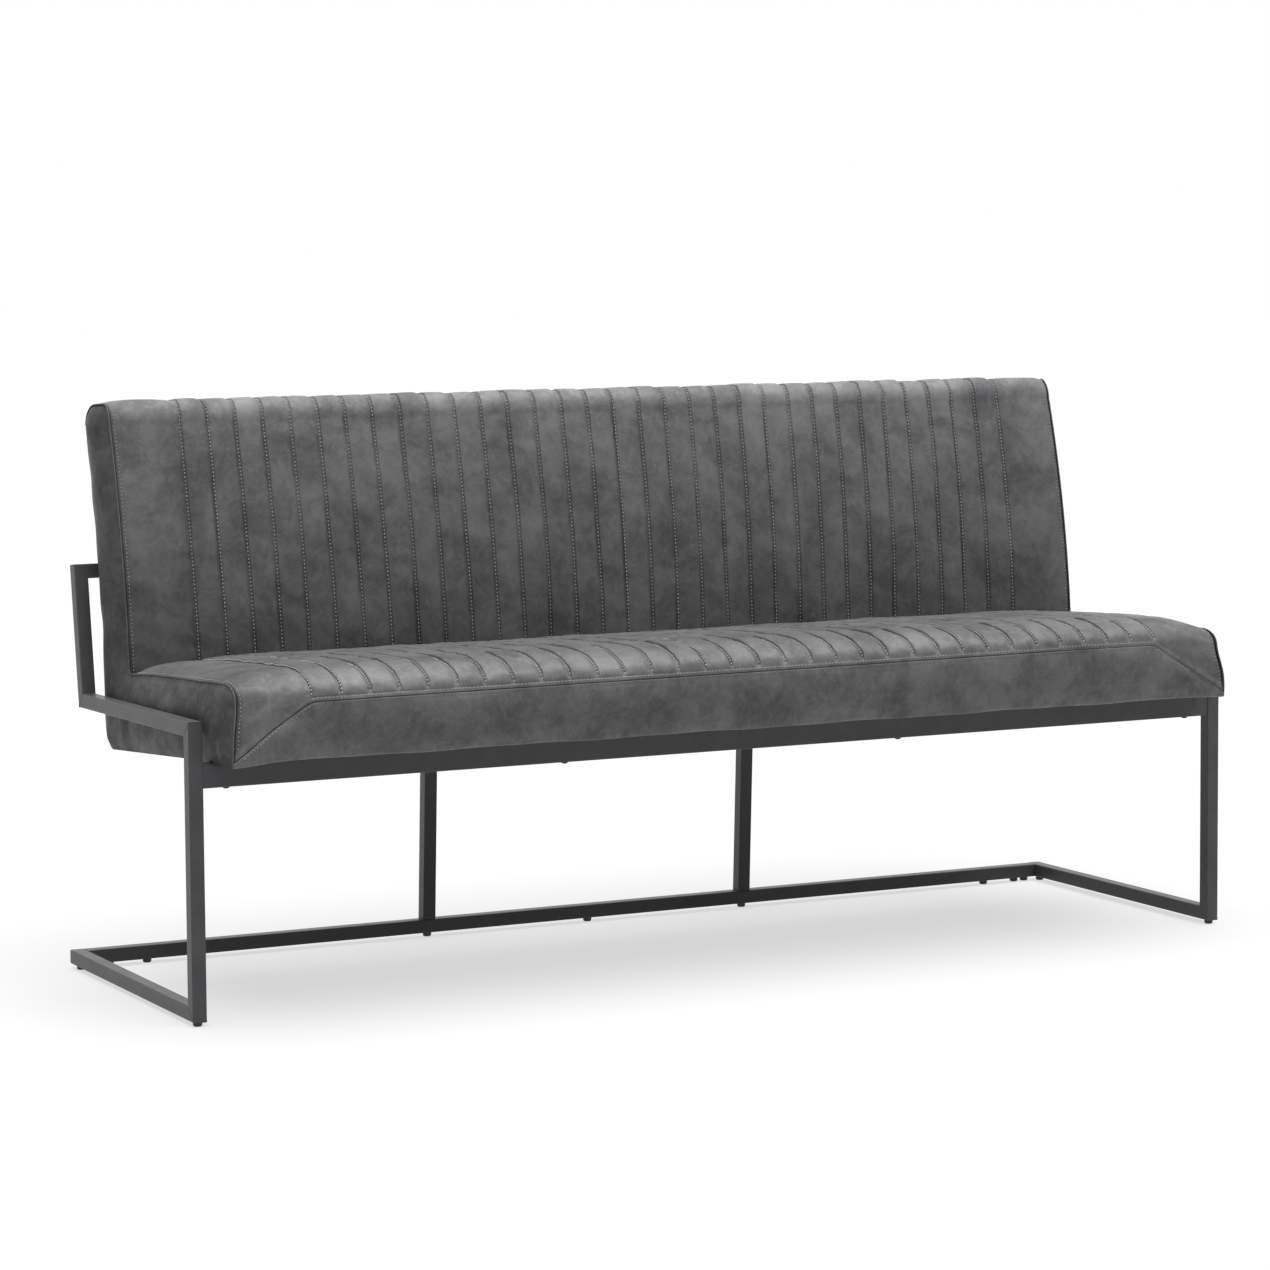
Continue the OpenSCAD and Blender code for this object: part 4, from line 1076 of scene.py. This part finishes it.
finishes = {
    "backLeather": makeLeather("backLeather", True, (0.4, 0.1, 0.2)),
    "seatLeather": makeLeather("seatLeather", True, (3.1, 0.7, 1.2)),
    # the side panels' leather is a darker copy of the hide: painted shade for faces turned away from the light
    "shadedPanelLeather": makeLeather("shadedPanelLeather", False, (5.3, 2.2, 0.4), 0.78, 0.09),
    "pipingLeather": makeLeather("pipingLeather", False, (2.3, 4.2, 0.9), 1.12, 0.18),
    "thread": makePlain("greyThread", (0.40, 0.40, 0.395), (0.56, 0.56, 0.555), 300, 0.6, 3000, 0.3),
    "steel": makePowderCoat(),
    "plastic": makePlain("blackPlastic", (0.012, 0.012, 0.012), (0.02, 0.02, 0.02), 120, 0.45, 2500, 0.2),
    "blackSteel": makePlain("blackenedSteel", (0.012, 0.012, 0.013), (0.026, 0.026, 0.027), 200, 0.35, 1500, 0.1, 0.6),
    "zinc": makePlain("zincPlate", (0.46, 0.47, 0.48), (0.62, 0.62, 0.63), 150, 0.3, 1200, 0.1, 1.0),
    "timber": makePlain("planedTimber", (0.40, 0.27, 0.15), (0.62, 0.46, 0.28), 18, 0.6, 260, 0.25, 0.0, (0.12, 1, 1)),
    "webbing": makePlain("wovenStrap", (0.015, 0.015, 0.015), (0.04, 0.04, 0.04), 90, 0.85, 1400, 0.6),
    "lining": makePlain("blackLining", (0.014, 0.014, 0.014), (0.028, 0.028, 0.028), 60, 0.9, 1800, 0.5),
}
slotFinish = {"steel": "steel", "black_steel": "blackSteel", "zinc": "zinc", "glide_plastic": "plastic",
              "timber": "timber", "webbing": "webbing", "leather": "shadedPanelLeather", "lining": "lining"}
slotOf = {entry["node"]: entry["material_slot"] for entry in frame["record"]["subparts"]}
for name, node in frame["nodes"].items():
    material = finishes[slotFinish[slotOf[name]]]
    if not node.material_slots:
        node.data.materials.append(material)
    for entry in node.material_slots:
        entry.material = material

# each padded piece with its finish, the node that it replaces and how full it is
covers = [(backCover, "backLeather", "back_cushion", 0.85), (seatCover, "seatLeather", "seat_cushion", 0.85),
          (frontBand, "seatLeather", "front_band", 0.8), (leftSide, "shadedPanelLeather", "left_side_panel", 0.8),
          (rightSide, "shadedPanelLeather", "right_side_panel", 0.8)]
dressed = [(cover[0], cover[1]) for cover in covers] + [(piping, "pipingLeather") for piping in pipings]
for piece, finish in dressed + [(rows, "thread") for rows in stitches] + [(welds, "steel")]:
    piece.data.materials.clear()
    piece.data.materials.append(finishes[finish])
    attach(piece, "root")
for piece, _, node, fill in covers:
    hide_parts(node)

print("studio")
scene = bpy.context.scene
scene.view_settings.view_transform = "Standard"
studio = {
    "worldLight": 0.09, "sun": 4.15, "sunAngle": 62.0, "sunFrom": (0.08, -0.13, 1.0),
    "floor": 0.27, "floorBounce": 0.52, "floorSeen": 0.655, "floorHalf": 40, "floorRough": 0.9,
}


def seenDirectly(tree):
    # 1 for what the camera and gloss see, 0 for the light that falls on things
    path = tree.nodes.new("ShaderNodeLightPath")
    return mathNode("MAXIMUM", path.outputs["Is Camera Ray"], path.outputs["Is Glossy Ray"]), path


floorMesh = bpy.data.meshes.new("studioFloor")
half = studio["floorHalf"]
floorMesh.from_pydata([(-half, -half, 0), (half, -half, 0), (half, half, 0), (-half, half, 0)], [], [(0, 1, 2, 3)])
floor = bpy.data.objects.new("studioFloor", floorMesh)
scene.collection.objects.link(floor)
floorMaterial, tree, shader, _ = startMaterial("whiteFloor")
# the camera and gloss see the floor half lit by itself, so it is white and its shadows stay light
seen, _ = seenDirectly(tree)
bounce, seenTone = ((studio[key],) * 3 for key in ("floorBounce", "floor"))
for key, value in {"Roughness": studio["floorRough"], "Specular IOR Level": 0.0, "Emission Color": (1, 1, 1),
                   "Base Color": mixColour(seen, bounce, seenTone),
                   "Emission Strength": mathNode("MULTIPLY", seen, studio["floorSeen"])}.items():
    feed(shader.inputs[key], value)
floorMesh.materials.append(floorMaterial)

# the world is dim as a light and white where it is seen
world = bpy.data.worlds.new("studioWorld")
scene.world = world
world.use_nodes = True
tree = world.node_tree
tree.nodes.clear()
seen, path = seenDirectly(tree)
seen = mathNode("MAXIMUM", seen, path.outputs["Is Transmission Ray"])
strength = newNode(tree, "ShaderNodeMapRange", {"Value": seen, "To Min": studio["worldLight"], "To Max": 1.0})
background = newNode(tree, "ShaderNodeBackground", {"Color": (1, 1, 1), "Strength": strength.outputs["Result"]})
newNode(tree, "ShaderNodeOutputWorld", {0: background.outputs[0]})

sunData = bpy.data.lights.new("softSun", "SUN")
sunData.energy = studio["sun"]
sunData.angle = math.radians(studio["sunAngle"])
sun = bpy.data.objects.new("softSun", sunData)
scene.collection.objects.link(sun)
sunFrom = unit(np.array(studio["sunFrom"]))
sun.rotation_euler = (math.acos(sunFrom[2]), 0, math.atan2(sunFrom[1], sunFrom[0]) + math.pi / 2)

# the photograph's camera, solved from the straight tubes; focal, size and centreY are in pixels, the angles in degrees
view = {
    "focal": 3955.856, "size": 1270, "centreY": 571.5, "yaw": 26.897, "pitch": 4.800, "roll": -0.400, "sensor": 36,
    "place": (-3.205443 * 0.9, -5.931970 * 0.9 - steel["midY"], 1.261270 * 0.9), "far": 200,
}
cameraData = bpy.data.cameras.new("photoCamera")
camera = bpy.data.objects.new("photoCamera", cameraData)
scene.collection.objects.link(camera)
cameraData.sensor_fit = "HORIZONTAL"
cameraData.sensor_width = view["sensor"]
cameraData.lens = view["focal"] / view["size"] * view["sensor"]
cameraData.shift_y = -(view["size"] / 2 - view["centreY"]) / view["size"]
cameraData.clip_end = view["far"]
a, b, c = (math.radians(view[k]) for k in ("yaw", "pitch", "roll"))
forward = np.array([math.sin(a) * math.cos(b), math.cos(a) * math.cos(b), -math.sin(b)])
right = np.array([math.cos(a), -math.sin(a), 0.0])
up = np.cross(right, forward)
right, up = right * math.cos(c) + up * math.sin(c), -right * math.sin(c) + up * math.cos(c)
matrix = np.eye(4)
matrix[:3] = np.stack([right, up, -forward, view["place"]], 1)
camera.matrix_world = Matrix(matrix.tolist())
scene.camera = camera
